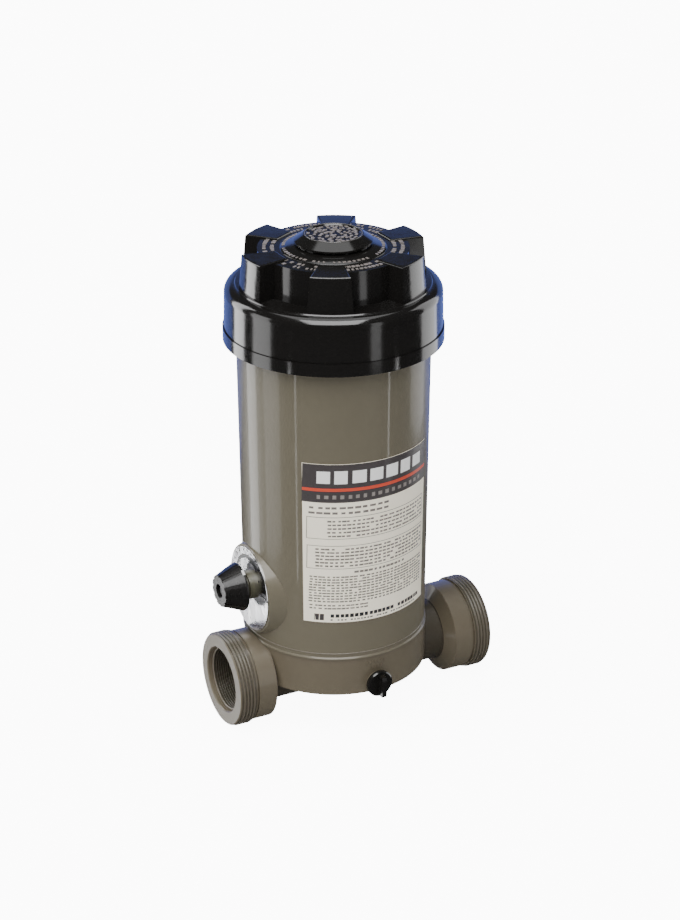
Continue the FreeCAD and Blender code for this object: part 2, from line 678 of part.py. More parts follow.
def build_inner_tubes():
    """Riser that feeds the chamber with its screen, and the tube back to the pipe."""
    foot = socket_top - size("tube_socket_depth")
    outlet_top = stub_end + size("tube_socket_depth") - size("tube_gap")
    for name, label, place, top in (
            ("OutletTube", "outlet_tube", -outlet_place, outlet_top),
            ("InletRiser", "inlet_riser", size("riser_place"), riser_top)):
        tube = turned(name, [
            (size("tube_bore"), foot),
            (tube_radius, foot),
            (tube_radius, top),
            (size("tube_bore"), top),
        ])
        move_to(tube, (place, ZERO, ZERO))
        keep(tube, label)

    screen_foot = riser_top - size("screen_skirt")
    screen_top = riser_top + size("screen_rise")
    fit_radius = tube_radius + size("tube_fit")
    room = size("screen_radius") - size("screen_wall")
    screen = new_body("InletScreen")
    profile = new_sketch(screen, "InletScreenProfile", "side")
    draw_outline(profile, [
        (fit_radius, screen_foot),
        (size("screen_radius"), screen_foot),
        (size("screen_radius"), screen_top),
        (ZERO, screen_top),
        (ZERO, screen_top - size("screen_wall")),
        (room, screen_top - size("screen_wall")),
        (room, riser_top + size("screen_wall")),
        (size("tube_bore"), riser_top + size("screen_wall")),
        (size("tube_bore"), riser_top),
        (fit_radius, riser_top),
    ])
    revolve(screen, "InletScreenTurning", profile, "V_Axis")
    slot = new_sketch(screen, "ScreenSlot", "end")
    slot_foot = riser_top + size("screen_wall") + size("slot_margin")
    slot_top = screen_top - size("screen_wall") - size("slot_margin")
    half = size("slot_width") / 2
    draw_outline(slot, [(-half, slot_foot), (half, slot_foot), (half, slot_top), (-half, slot_top)])
    cutting = pocket(screen, "ScreenSlotCut", slot, size("screen_radius") * 2, reverse=True)
    polar(screen, "ScreenSlots", cutting, profile, "V_Axis", size("slot_count"))
    move_to(screen, (size("riser_place"), ZERO, ZERO))
    keep(screen, "inlet_screen")


def on_valve_axis(item):
    move_to(item, (ZERO, ZERO, valve_height))
    return item


def valve_turned(name, points):
    """A piece turned about the valve's axis: points give distance out from the vessel, radius."""
    return on_valve_axis(turned(name, [(-Length.of(out), radius) for out, radius in points], "side", "H_Axis"))


def ring(name, inner_face, outer_face, hole, radius):
    return valve_turned(name, [(inner_face, hole), (inner_face, radius), (outer_face, radius), (outer_face, hole)])


def build_dial_seat():
    """Plate, nut and gasket that hold the valve body in the boss."""
    plate = new_body("DialPlate")
    disc = new_sketch(plate, "DialPlateDisc", "end", -plate_face)
    draw_circle(disc, 0, dial_height, size("plate_radius"))
    draw_circle(disc, 0, valve_height, neck_hole)
    pad(plate, "DialPlatePad", disc, size("plate_thickness"))
    keep(plate, "dial_plate")
    keep(ring("Locknut", plate_face, locknut_face, body_neck_radius + size("locknut_thread_gap"),
              body_neck_radius + size("locknut_wall")), "valve_locknut")
    keep(ring("ValveGasket", flange_outer, pad_face, neck_hole, body_flange_radius),
         "valve_gasket")


def build_valve_body():
    """Housing of the dosing valve: neck through the wall, chamber and outlet stub inside."""
    outside = valve_turned("ValveBodyOutside", [
        (neck_end, ZERO),
        (neck_end, body_neck_radius),
        (flange_outer, body_neck_radius),
        (flange_outer, body_flange_radius),
        (flange_inner, body_flange_radius),
        (flange_inner, body_radius),
        (body_end, body_radius),
        (body_end, ZERO),
    ])
    stem_hole = size("stem_radius") + size("stem_fit")
    bore = valve_turned("ValveBodyBore", [
        (neck_end, ZERO),
        (neck_end, stem_hole),
        (rotor_shoulder, stem_hole),
        (rotor_shoulder, size("rotor_radius") + size("stem_fit")),
        (body_end, size("rotor_radius") + size("stem_fit")),
        (body_end, ZERO),
    ])
    stub = rod("ValveStub", stub_radius, size("stub_length"),
               (-outlet_place, ZERO, stub_end))
    window = rod("ValveWindow", size("window_radius"), size("stub_length"),
                 (-outlet_place, ZERO, stub_end))
    socket = rod("ValveTubeSocket", tube_radius + size("tube_fit"), size("tube_socket_depth"),
                 (-outlet_place, ZERO, stub_end))
    keep(cut("ValveBody", fused("ValveBodyForm", outside, stub),
             fused("ValveBodyHoles", bore, window, socket)), "valve_body")


def build_valve_stem():
    """Stem with a flat end for the knob, two seal grooves and the cupped rotor."""
    half = size("seal_groove_width") / 2
    stem_outline = [(rotor_shoulder - size("rotor_gap"), size("stem_radius"))]
    for seal in (inner_seal_place, outer_seal_place):
        stem_outline += [
            (seal - half, size("stem_radius")),
            (seal - half, seal_groove_radius),
            (seal + half, seal_groove_radius),
            (seal + half, size("stem_radius")),
        ]
    rotor_start = body_end
    cup_floor = rotor_shoulder - size("rotor_gap") - size("rotor_wall")
    cup_radius = size("rotor_radius") - size("rotor_wall")
    form = valve_turned("StemForm", [
        (rotor_start, cup_radius),
        (rotor_start, size("rotor_radius")),
        (rotor_shoulder - size("rotor_gap"), size("rotor_radius")),
    ] + stem_outline + [
        (neck_end, size("stem_radius")),
        (neck_end, size("spigot_radius")),
        (spigot_end, size("spigot_radius")),
        (spigot_end, ZERO),
        (cup_floor, ZERO),
        (cup_floor, cup_radius),
    ])
    flat = doc.addObject("Part::Box", "StemFlat")
    bind(flat, "Length", size("knob_length"))
    bind(flat, "Width", size("spigot_radius") * 2)
    bind(flat, "Height", size("spigot_radius"))
    move_to(flat, (-neck_end - size("knob_length"), -size("spigot_radius"),
                   valve_height + size("spigot_flat")))
    pilot = rod("StemPilot", size("screw_radius") + size("screw_gap"), size("screw_length"),
                (-spigot_end, ZERO, valve_height), "X")
    window = rod("RotorWindow", size("window_radius"), size("rotor_radius") * 2,
                 (-outlet_place, ZERO, valve_height), "-Z")
    keep(cut("ValveStem", form, fused("StemCuts", flat, pilot, window)), "valve_stem")

    for name, label, place in (("OuterSeal", "stem_oring_outer", outer_seal_place),
                               ("InnerSeal", "stem_oring_inner", inner_seal_place)):
        seal = doc.addObject("Part::Torus", name)
        bind(seal, "Radius1", size("stem_radius") - size("seal_section"))
        bind(seal, "Radius2", size("seal_section"))
        turn_towards(seal, "-X")
        move_to(seal, (-place, ZERO, valve_height))
        keep(seal, label)


def build_knob():
    """Fluted cone with a D-shaped hole behind and a round hole in its nose."""
    body = new_body("Knob")
    profile = new_sketch(body, "KnobProfile", "side")
    hole = size("spigot_radius") + size("knob_fit")
    screw_hole = size("screw_radius") + size("screw_gap")
    draw_outline(profile, [(-out, radius) for out, radius in (
        (knob_foot, hole),
        (knob_foot, size("knob_radius")),
        (knob_foot + size("knob_rim"), size("knob_radius")),
        (knob_end, size("knob_nose_radius")),
        (knob_end, size("knob_recess_radius")),
        (knob_hole_floor, size("knob_recess_radius")),
        (knob_hole_floor, screw_hole),
        (spigot_end, screw_hole),
        (spigot_end, hole),
    )])
    revolve(body, "KnobTurning", profile, "H_Axis")
    slant_length = size("knob_length") - size("knob_rim")
    slant_drop = size("knob_radius") - size("knob_nose_radius")
    flute = new_sketch(body, "KnobFlute", "side")
    deep_foot = size("knob_radius") - size("flute_depth")
    deep_nose = size("knob_nose_radius") - size("flute_depth")
    half = size("flute_width") / 2
    draw_outline(flute, [
        (-(knob_foot + size("knob_rim")), size("knob_radius") + size("flute_width")),
        (-(knob_foot + size("knob_rim")), deep_foot + slant_drop * half / slant_length),
        (-(knob_foot + size("knob_rim") + half), deep_foot),
        (-(knob_end + half), deep_nose - slant_drop * half / slant_length),
        (-(knob_end + half), size("knob_radius") + size("flute_width")),
    ])
    fluting = pocket(body, "KnobFluteCut", flute, size("flute_width"), both_ways=True)
    polar(body, "KnobFlutes", fluting, profile, "H_Axis", size("knob_flutes"))
    flat = new_sketch(body, "KnobFlat", "side")
    level = size("spigot_flat") + size("knob_fit")
    draw_outline(flat, [
        (-knob_foot, level),
        (-spigot_end, level),
        (-spigot_end, size("spigot_radius") + size("knob_rim")),
        (-knob_foot, size("spigot_radius") + size("knob_rim")),
    ])
    pad(body, "KnobKey", flat, size("spigot_radius") * 2, both_ways=True)
    keep(on_valve_axis(body), "control_knob")

    keep(valve_turned("KnobScrew", [
        (knob_hole_floor + size("screw_head_height"), ZERO),
        (knob_hole_floor + size("screw_head_height"), size("screw_head_radius") - size("screw_head_bevel")),
        (knob_hole_floor + size("screw_head_height") / 2, size("screw_head_radius")),
        (knob_hole_floor, size("screw_head_radius")),
        (knob_hole_floor, size("screw_radius")),
        (knob_hole_floor - size("screw_length"), size("screw_radius")),
        (knob_hole_floor - size("screw_length"), ZERO),
    ]), "knob_screw")


def build_drain():
    """Wing plug that screws into the drain boss, and its gasket."""
    shank_end = drain_gasket_face - size("drain_shank")
    body = new_body("DrainPlug")
    profile = new_sketch(body, "DrainPlugProfile", "end")
    edge = size("drain_bevel")
    draw_outline(profile, [(-out, radius) for out, radius in (
        (shank_end, ZERO),
        (shank_end, size("drain_bore") - size("drain_fit")),
        (drain_gasket_face, size("drain_bore") - size("drain_fit")),
        (drain_gasket_face, size("drain_head_radius")),
        (drain_head_face - edge, size("drain_head_radius")),
        (drain_head_face, size("drain_head_radius") - edge),
        (drain_head_face, ZERO),
    )])
    revolve(body, "DrainPlugTurning", profile, "H_Axis")
    wing = new_sketch(body, "DrainWing", "end")
    half = size("wing_length") / 2
    crown = size("wing_crown") / 2
    wing_face = drain_head_face + size("wing_height")
    draw_outline(wing, [
        (-(drain_head_face - edge), -half),
        (-(drain_head_face - edge), half),
        (-(wing_face - edge), half),
        (-wing_face, crown),
        (-wing_face, -crown),
        (-(wing_face - edge), -half),
    ])
    pad(body, "DrainWingPad", wing, size("wing_width"), both_ways=True)
    move_to(body, (ZERO, ZERO, drain_height))
    keep(body, "drain_plug")

    gasket_radius = drain_boss_radius - size("drain_gasket_margin")
    gasket = turned("DrainGasket", [(-out, radius) for out, radius in (
        (drain_boss_face, size("drain_bore")),
        (drain_boss_face, gasket_radius),
        (drain_gasket_face, gasket_radius),
        (drain_gasket_face, size("drain_bore")),
    )], "end", "H_Axis")
    move_to(gasket, (ZERO, ZERO, drain_height))
    keep(gasket, "drain_gasket")


def build_label():
    """Sticker that follows the taper of the tank."""
    body = new_body("Label")
    profile = new_sketch(body, "LabelProfile", "side")
    low = size("seam_height") + size("label_rise")
    high = low + size("label_height")
    back = size("label_glue")
    face = back + size("label_thickness")
    draw_outline(profile, [
        (tank_outside(low) + back, low),
        (tank_outside(low) + face, low),
        (tank_outside(high) + face, high),
        (tank_outside(high) + back, high),
    ])
    revolve(body, "LabelTurning", profile, "V_Axis", angle=size("label_angle"))
    swing(body, size("label_direction"))
    keep(body, "label_sticker")


def build_cover():
    """Screw cover: ring with skirt, hub and six hollow lugs."""
    seat_face = neck_top + size("seat_gap")
    ring_ceiling = cover_shoulder - size("cover_wall")
    seal_floor = neck_top + size("cover_seal_section") * 2
    seal_half = size("cover_seal_section") + size("seal_side_gap")
    hub_bore = hub_foot_radius - size("cover_wall")
    pad_inner = seal_radius - seal_half - size("seal_pad_wall")
    hub_ceiling = hub_top - size("cap_recess_depth") - size("cover_wall")
    top_radius = cover_radius - size("cover_draft")
    body = new_body("Cover")
    profile = new_sketch(body, "CoverProfile", "side")
    draw_outline(profile, [
        (skirt_bore, cover_foot),
        (cover_radius, cover_foot),
        (top_radius, cover_shoulder - size("cover_step")),
        (cover_step_radius, cover_shoulder - size("cover_step")),
        (cover_step_radius - size("cover_step"), cover_shoulder),
        (hub_foot_radius, cover_shoulder),
        (hub_foot_radius - size("hub_draft"), hub_top),
        (size("cap_recess_radius"), hub_top),
        (size("cap_recess_radius"), hub_top - size("cap_recess_depth")),
        (ZERO, hub_top - size("cap_recess_depth")),
        (ZERO, hub_ceiling),
        (hub_bore, hub_ceiling),
        (hub_bore, ring_ceiling),
        (pad_inner, ring_ceiling),
        (pad_inner, seat_face),
        (seal_radius - seal_half, seat_face),
        (seal_radius - seal_half, seal_floor),
        (seal_radius + seal_half, seal_floor),
        (seal_radius + seal_half, seat_face),
        (skirt_bore, seat_face),
    ])
    revolve(body, "CoverTurning", profile, "V_Axis")

    lug = new_sketch(body, "LugOutline", "top", cover_shoulder - size("lug_sink"))
    draw_lug(lug, lug_inner, lug_radius, size("lug_inner_width"), size("lug_width"))
    lean = size("lug_draft")
    lug_end = new_sketch(body, "LugEnd", "top", lug_top)
    draw_lug(lug_end, lug_inner + lean, lug_radius - lean,
             size("lug_inner_width") - lean * 2, size("lug_width") - lean * 2)
    lug_loft = body.newObject("PartDesign::AdditiveLoft", "Lug")
    lug_loft.Profile = lug
    lug_loft.Sections = [lug_end]
    lug_loft.Ruled = True
    lugs = polar(body, "Lugs", lug_loft, lug, "N_Axis", size("lug_count"))

    hollow = new_sketch(body, "LugHollow", "top", seat_face)
    wall = size("lug_wall")
    draw_lug(hollow, lug_inner + wall, pad_inner, size("lug_inner_width") - wall * 2,
             size("lug_width") - size("lug_side_wall") * 2)
    hollow_depth = hub_top - wall - seat_face
    hollow_cut = pocket(body, "LugHollowCut", hollow, hollow_depth, reverse=True)
    hollows = polar(body, "LugHollows", hollow_cut, hollow, "N_Axis", size("lug_count"))
    hub_room = new_sketch(body, "HubRoom", "top", seat_face)
    draw_circle(hub_room, 0, 0, hub_bore)
    hollows = pocket(body, "HubRoomCut", hub_room, hub_ceiling - seat_face, reverse=True)
    body.Tip = hollows
    doc.recompute()

    top = lug_top.value
    cap_radius = size("cap_neck_radius").value + size("cap_overhang").value
    shoulder = cover_shoulder.value - size("cover_step").value

    def at_shoulder(edge, middle):
        return abs(middle.z - shoulder) < 0.05 and abs(math.hypot(middle.x, middle.y) - top_radius.value) < 0.2

    def on_lug_top(edge, middle):
        return abs(middle.z - top) < 0.05 and math.hypot(middle.x, middle.y) > cap_radius

    soft = round_edges(body, "ShoulderRounding", hollows, edges_where(hollows, at_shoulder),
                       size("shoulder_round"))
    doc.recompute()
    round_edges(body, "LugRounding", soft, edges_where(soft, on_lug_top), size("lug_round"))
    swing(body, size("cover_clocking"))
    keep(body, "cover")

    seal = doc.addObject("Part::Torus", "CoverSeal")
    bind(seal, "Radius1", seal_radius)
    bind(seal, "Radius2", size("cover_seal_section"))
    move_to(seal, (ZERO, ZERO, neck_top + size("cover_seal_section")))
    keep(seal, "cover_oring")


def draw_lug(sketch, inner, outer, inner_width, outer_width):
    """Lug outline: straight sides and inner end, outer face an arc about the vessel axis."""
    half_inner, half_outer = inner_width / 2, outer_width / 2
    corner = (outer * outer - half_outer * half_outer).root()
    corners = [(corner, half_outer), (inner, half_inner), (inner, -half_inner), (corner, -half_outer)]
    for start, end in zip(corners, corners[1:]):
        sketch.addGeometry(Part.LineSegment(
            FreeCAD.Vector(start[0].value, start[1].value, 0),
            FreeCAD.Vector(end[0].value, end[1].value, 0)), False)
    angle = math.atan2(half_outer.value, corner.value)
    circle = Part.Circle(FreeCAD.Vector(), FreeCAD.Vector(0, 0, 1), outer.value)
    arc = sketch.addGeometry(Part.ArcOfCircle(circle, -angle, angle), False)
    sketch.addConstraint(Sketcher.Constraint("Coincident", arc, 3, -1, 1))
    radius = sketch.addConstraint(Sketcher.Constraint("Radius", arc, outer.value))
    bind(sketch, f"Constraints[{radius}]", outer)
    for edge in (1, 2):
        pin_point(sketch, edge, 1, *corners[edge])
        sketch.addConstraint(Sketcher.Constraint("Coincident", edge - 1, 2, edge, 1))
    sketch.addConstraint(Sketcher.Constraint("Coincident", 2, 2, arc, 1))
    sketch.addConstraint(Sketcher.Constraint("Coincident", 0, 1, arc, 2))
    for end, height in ((1, -half_outer), (2, half_outer)):
        index = sketch.addConstraint(Sketcher.Constraint("DistanceY", -1, 1, arc, end, height.value))
        bind(sketch, f"Constraints[{index}]", height)


def build_centre_cap():
    """Round cap that plugs into the hub and overhangs it."""
    foot = hub_top - size("cap_recess_depth")
    under_edge = hub_top + size("cap_gap")
    edge_top = under_edge + size("cap_edge")
    cap_top = edge_top + size("cap_rise")
    cap_radius = size("cap_neck_radius") + size("cap_overhang")
    dish_radius = size("cap_top_radius") - size("cap_rim")
    foot_radius = size("cap_recess_radius") - size("cap_fit")
    keep(turned("CentreCap", [
        (ZERO, foot),
        (foot_radius, foot),
        (foot_radius, hub_top),
        (size("cap_neck_radius"), hub_top),
        (size("cap_neck_radius"), under_edge),
        (cap_radius, under_edge),
        (cap_radius, edge_top),
        (size("cap_top_radius"), cap_top),
        (dish_radius, cap_top),
        (dish_radius - size("cap_dish_depth"), cap_top - size("cap_dish_depth")),
        (ZERO, cap_top - size("cap_dish_depth")),
    ]), "cover_centre_cap")


build_tank()
build_base()
build_neck_collar()
build_grate()
build_inner_tubes()
build_dial_seat()
build_valve_body()
build_valve_stem()
build_knob()
build_drain()
build_label()
build_cover()
build_centre_cap()
doc.recompute()

# Check every object before anything is written
for item in doc.Objects:
    if "Invalid" in item.State or "Error" in item.State:
        raise RuntimeError(f"{item.Name} ({item.Label}) did not rebuild: {item.State}")
for piece in PIECES:
    if piece.Shape.isNull() or not piece.Shape.isValid():
        raise RuntimeError(f"{piece.Label} has no valid shape")

os.makedirs("parts", exist_ok=True)
for piece in PIECES:
    piece.Shape.exportStep(f"parts/{piece.Label}.step")
    box = piece.Shape.BoundBox
    print(f"{piece.Label:18s} solids {len(piece.Shape.Solids)} volume {piece.Shape.Volume / 1000:8.2f} cm3"
          f"  x {box.XMin:7.1f} {box.XMax:7.1f}  y {box.YMin:7.1f} {box.YMax:7.1f}"
          f"  z {box.ZMin:7.1f} {box.ZMax:7.1f}")
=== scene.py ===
# %% [markdown]
# # Dressing an inline pool chlorinator
#
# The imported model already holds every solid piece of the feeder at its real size: the tapered
# tank, the moulded base with its two ports, the screw cover, the dosing valve and the drain plug.
# This lesson gives those pieces their finishes, and adds what a drawing of solids leaves out:
# threads, the printing on the label and on the dial, and the raised marks on the cover.
# First the model is loaded as a fixed frame. Nothing in it is moved or reshaped afterwards.

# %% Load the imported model
import json
import math

import bmesh
import bpy
from mathutils import Matrix, Vector


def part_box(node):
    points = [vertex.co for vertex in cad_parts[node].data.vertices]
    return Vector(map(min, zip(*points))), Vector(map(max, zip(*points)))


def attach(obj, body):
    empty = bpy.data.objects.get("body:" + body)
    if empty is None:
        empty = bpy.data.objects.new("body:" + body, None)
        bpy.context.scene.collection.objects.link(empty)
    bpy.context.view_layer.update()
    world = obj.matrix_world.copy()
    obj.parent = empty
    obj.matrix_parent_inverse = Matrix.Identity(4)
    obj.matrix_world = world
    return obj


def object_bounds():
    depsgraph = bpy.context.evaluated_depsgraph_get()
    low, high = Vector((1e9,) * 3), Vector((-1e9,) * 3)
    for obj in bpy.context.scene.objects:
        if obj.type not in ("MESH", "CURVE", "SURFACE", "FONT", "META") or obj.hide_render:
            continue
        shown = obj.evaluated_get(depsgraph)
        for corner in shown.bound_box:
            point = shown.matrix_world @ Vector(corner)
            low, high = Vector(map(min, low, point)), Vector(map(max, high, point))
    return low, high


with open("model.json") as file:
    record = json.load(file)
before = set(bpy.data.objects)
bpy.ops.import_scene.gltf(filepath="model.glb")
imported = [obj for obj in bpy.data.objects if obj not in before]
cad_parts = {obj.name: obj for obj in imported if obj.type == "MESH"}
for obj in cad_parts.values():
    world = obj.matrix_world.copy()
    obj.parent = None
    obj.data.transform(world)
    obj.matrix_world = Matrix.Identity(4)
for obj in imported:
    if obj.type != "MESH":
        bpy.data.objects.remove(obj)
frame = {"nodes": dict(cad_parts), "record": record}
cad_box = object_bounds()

MM = 0.001
mounts = {mount["name"]: mount for mount in frame["record"]["mounts"]}
print("pieces in the frame:", len(frame["nodes"]))



def new_object(name, data):
    """An object that is linked to the scene, at the origin."""
    thing = bpy.data.objects.new(name, data)
    bpy.context.scene.collection.objects.link(thing)
    return thing


# %% [markdown]
# ## Sizes read from the frame
#
# The port faces and radii and the tank's top and foot heights come from the corner points of a
# piece or from a mount, so the pieces placed by them follow the solids when the model is packed
# again. The tank's radii are given as numbers. `reach` gives one coordinate of a corner.

# %% Read the places that the added pieces need
LOW, HIGH = 0, 1


def reach(node, end, axis):
    """One coordinate of a piece's lowest (LOW) or highest (HIGH) corner."""
    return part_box(node)[end]["xyz".index(axis)]


outlet_face = reach("base", LOW, "x")
inlet_face = reach("base", HIGH, "x")
thread_root = mounts["inlet_union"]["dims"]["r_mm"] * MM
socket_root = mounts["inlet_port"]["dims"]["r_mm"] * MM
tank_top = reach("neck_collar", LOW, "z")
tank_foot = reach("base", HIGH, "z")
tank_foot_radius = 83.5 * MM
tank_top_radius = 86.6 * MM
print("port faces at", round(outlet_face / MM, 1), "and", round(inlet_face / MM, 1), "mm")


def tank_radius(height):
    """Outside radius of the tapered tank at a height."""
    share = (height - tank_foot) / (tank_top - tank_foot)
    return tank_foot_radius + share * (tank_top_radius - tank_foot_radius)


# %% [markdown]
# ## The camera
#
# The photograph looks down on the feeder from the drain side, a little towards the outlet port.
# A long lens keeps the port faces almost round. The camera is written as an azimuth, an
# elevation and a distance from a point on the vessel's axis, as a photographer would walk
# round it. A roll of a sixth of a degree takes up the tilt of the picture.

# %% Place the camera
AZIMUTH = math.radians(-26.99)
ELEVATION = math.radians(24.40)
ROLL = math.radians(0.156)
CAMERA_DISTANCE = 2.2824
AIM = Vector((0, 0, 0.1966))
LENS = 98.88
SENSOR = 36.0
SHIFT_X = 0.0066

to_camera = Vector((math.sin(AZIMUTH) * math.cos(ELEVATION),
                    -math.cos(AZIMUTH) * math.cos(ELEVATION),
                    math.sin(ELEVATION)))
level_right = Vector((math.cos(AZIMUTH), math.sin(AZIMUTH), 0))
level_up = to_camera.cross(level_right)
camera_right = level_right * math.cos(ROLL) - level_up * math.sin(ROLL)
camera_up = level_right * math.sin(ROLL) + level_up * math.cos(ROLL)

lens_data = bpy.data.cameras.new("portrait_camera")
lens_data.lens = LENS
lens_data.sensor_width = SENSOR
lens_data.shift_x = SHIFT_X
lens_data.clip_end = 60
camera = new_object("portrait_camera", lens_data)
turned = Matrix((camera_right, camera_up, to_camera)).transposed().to_4x4()
camera.matrix_world = Matrix.Translation(AIM + to_camera * CAMERA_DISTANCE) @ turned
bpy.context.scene.camera = camera
print("camera at", [round(c, 3) for c in camera.location])

# %% [markdown]
# ## Shader helpers
#
# Materials are node trees. The helper below adds a node, sets its own fields, and fills its
# inputs: a socket or a node is linked, and anything else is stored as the input's value.


# %% Write node trees in few lines
def add_node(tree, kind, fields=None, **inputs):
    """Adds a node to a tree; an input given as a socket is linked and any other is stored."""
    node = tree.nodes.new(kind)
    for field, value in (fields or {}).items():
        setattr(node, field, value)
    for name, value in inputs.items():
        feed(tree, node, name.replace("_", " "), value)
    return node


def feed(tree, node, name, value):
    """Fills an input, found by name or number; a node given as value is its first output."""
    socket = node.inputs[int(name)] if name.isdigit() else node.inputs[name]
    if isinstance(value, bpy.types.Node):
        value = value.outputs[0]
    if isinstance(value, bpy.types.NodeSocket):
        tree.links.new(value, socket)
    else:
        socket.default_value = value


def calc(tree, operation, first, second=0.0):
    """A sum, product or other step on two numbers, as a socket."""
    node = tree.nodes.new("ShaderNodeMath")
    node.operation = operation
    feed(tree, node, "0", first)
    feed(tree, node, "1", second)
    return node.outputs[0]


def object_place(tree):
    """The Object coordinates, as a socket."""
    return add_node(tree, "ShaderNodeTexCoord").outputs["Object"]


def new_group(name, kind, inputs, outputs):
    """A node group with named sockets, and its input and output nodes."""
    group = bpy.data.node_groups.new(name, kind)
    for label, (socket_type, value) in inputs.items():
        socket = group.interface.new_socket(label, in_out="INPUT", socket_type=socket_type)
        if value is not None:
            socket.default_value = value
    for label, socket_type in outputs.items():
        group.interface.new_socket(label, in_out="OUTPUT", socket_type=socket_type)
    return group, group.nodes.new("NodeGroupInput"), group.nodes.new("NodeGroupOutput")


NUMBER = "NodeSocketFloat"
COUNT = "NodeSocketInt"
VECTOR = "NodeSocketVector"
COLOUR = "NodeSocketColor"
GEOMETRY = "NodeSocketGeometry"
MATERIAL = "NodeSocketMaterial"

# %% [markdown]
# ## Shared effect: moulded skin
#
# Moulded plastic is never one flat tone. The colour drifts a little where the melt cooled at
# different speeds, the polish of the mould varies in patches, and a fine unevenness breaks up
# sharp reflections. One group holds all three, and every plastic uses it with its own values.


# %% Build the moulded skin group
def build_moulded_skin():
    group, given, result = new_group(
        "moulded_skin", "ShaderNodeTree",
        {
            "Colour": (COLOUR, (0.5, 0.5, 0.5, 1)),
            "Mottle": (NUMBER, 0.06), "Mottle Scale": (NUMBER, 30.0),
            "Polish": (NUMBER, 0.25), "Polish Spread": (NUMBER, 0.08),
            "Ripple": (NUMBER, 0.1), "Ripple Scale": (NUMBER, 400.0),
        },
        {"Colour": COLOUR, "Roughness": NUMBER, "Normal": VECTOR},
    )
    place = object_place(group)
    drift = add_node(group, "ShaderNodeTexNoise", Vector=place, Scale=given.outputs["Mottle Scale"],
                     Detail=4.0, Roughness=0.6)
    centred = calc(group, "SUBTRACT", drift, 0.5)
    swing = calc(group, "MULTIPLY", centred, given.outputs["Mottle"])
    tone = calc(group, "ADD", calc(group, "MULTIPLY", swing, 2.0), 1.0)
    toned = add_node(group, "ShaderNodeVectorMath", {"operation": "SCALE"})
    feed(group, toned, "0", given.outputs["Colour"])
    feed(group, toned, "Scale", tone)
    patches = add_node(group, "ShaderNodeTexNoise", Vector=place, Scale=140.0, Detail=3.0)
    patch_swing = calc(group, "MULTIPLY", calc(group, "SUBTRACT", patches, 0.5),
                            given.outputs["Polish Spread"])
    rough = calc(group, "ADD", given.outputs["Polish"], calc(group, "MULTIPLY", patch_swing, 2.0))
    ripple = add_node(group, "ShaderNodeTexNoise", Vector=place, Scale=given.outputs["Ripple Scale"],
                      Detail=2.0)
    bump = add_node(group, "ShaderNodeBump", Height=ripple, Strength=given.outputs["Ripple"],
                    Distance=0.0002)
    feed(group, result, "Colour", toned)
    feed(group, result, "Roughness", rough)
    feed(group, result, "Normal", bump)
    return group


moulded_skin = build_moulded_skin()
print("group", moulded_skin.name, "has", len(moulded_skin.nodes), "nodes")

# %% [markdown]
# ## Shared effect: handling scuffs
#
# Parts that hands and fittings touch carry hair-fine rub marks, which show only as a duller
# streak in a reflection. Long thin cells of noise, turned two ways and cut hard, give a mask of
# such streaks. The mask raises the roughness and lightens the colour a trace.


# %% Build the scuff group
def build_scuffs():
    group, given, result = new_group(
        "handling_scuffs", "ShaderNodeTree",
        {"Scale": (NUMBER, 60.0), "Amount": (NUMBER, 0.3)},
        {"Mask": NUMBER},
    )
    place = object_place(group)
    streaks = []
    for angle, stretch in ((0.5, (1.0, 26.0, 1.4)), (1.9, (24.0, 1.2, 1.0))):
        laid = add_node(group, "ShaderNodeMapping", Vector=place, Scale=stretch,
                        Rotation=(angle, angle / 2, angle))
        noise = add_node(group, "ShaderNodeTexNoise", Vector=laid,
                         Scale=given.outputs["Scale"], Detail=2.0)
        cut = add_node(group, "ShaderNodeMapRange", {"clamp": True}, Value=noise)
        feed(group, cut, "From Min", 0.62)
        feed(group, cut, "From Max", 0.72)
        streaks.append(cut)
    either = calc(group, "MAXIMUM", streaks[0], streaks[1])
    feed(group, result, "Mask", calc(group, "MULTIPLY", either, given.outputs["Amount"]))
    return group


handling_scuffs = build_scuffs()
print("group", handling_scuffs.name, "has", len(handling_scuffs.nodes), "nodes")

# %% [markdown]
# ## Plastic materials
#
# All plastics share one recipe: the skin group gives colour, roughness and normal, and the scuff
# mask is added on top. Gloss itself is a property of the shader, so specular level and coat
# weight are set on the shader's own sockets.


# %% Make a plastic from the shared groups
def group_node(tree, group, **inputs):
    node = tree.nodes.new("ShaderNodeGroup")
    node.node_tree = group
    for name, value in inputs.items():
        feed(tree, node, name.replace("_", " "), value)
    return node


def new_material(name):
    material = bpy.data.materials.new(name)
    material.use_nodes = True
    tree = material.node_tree
    shader = tree.nodes["Principled BSDF"]
    return material, tree, shader


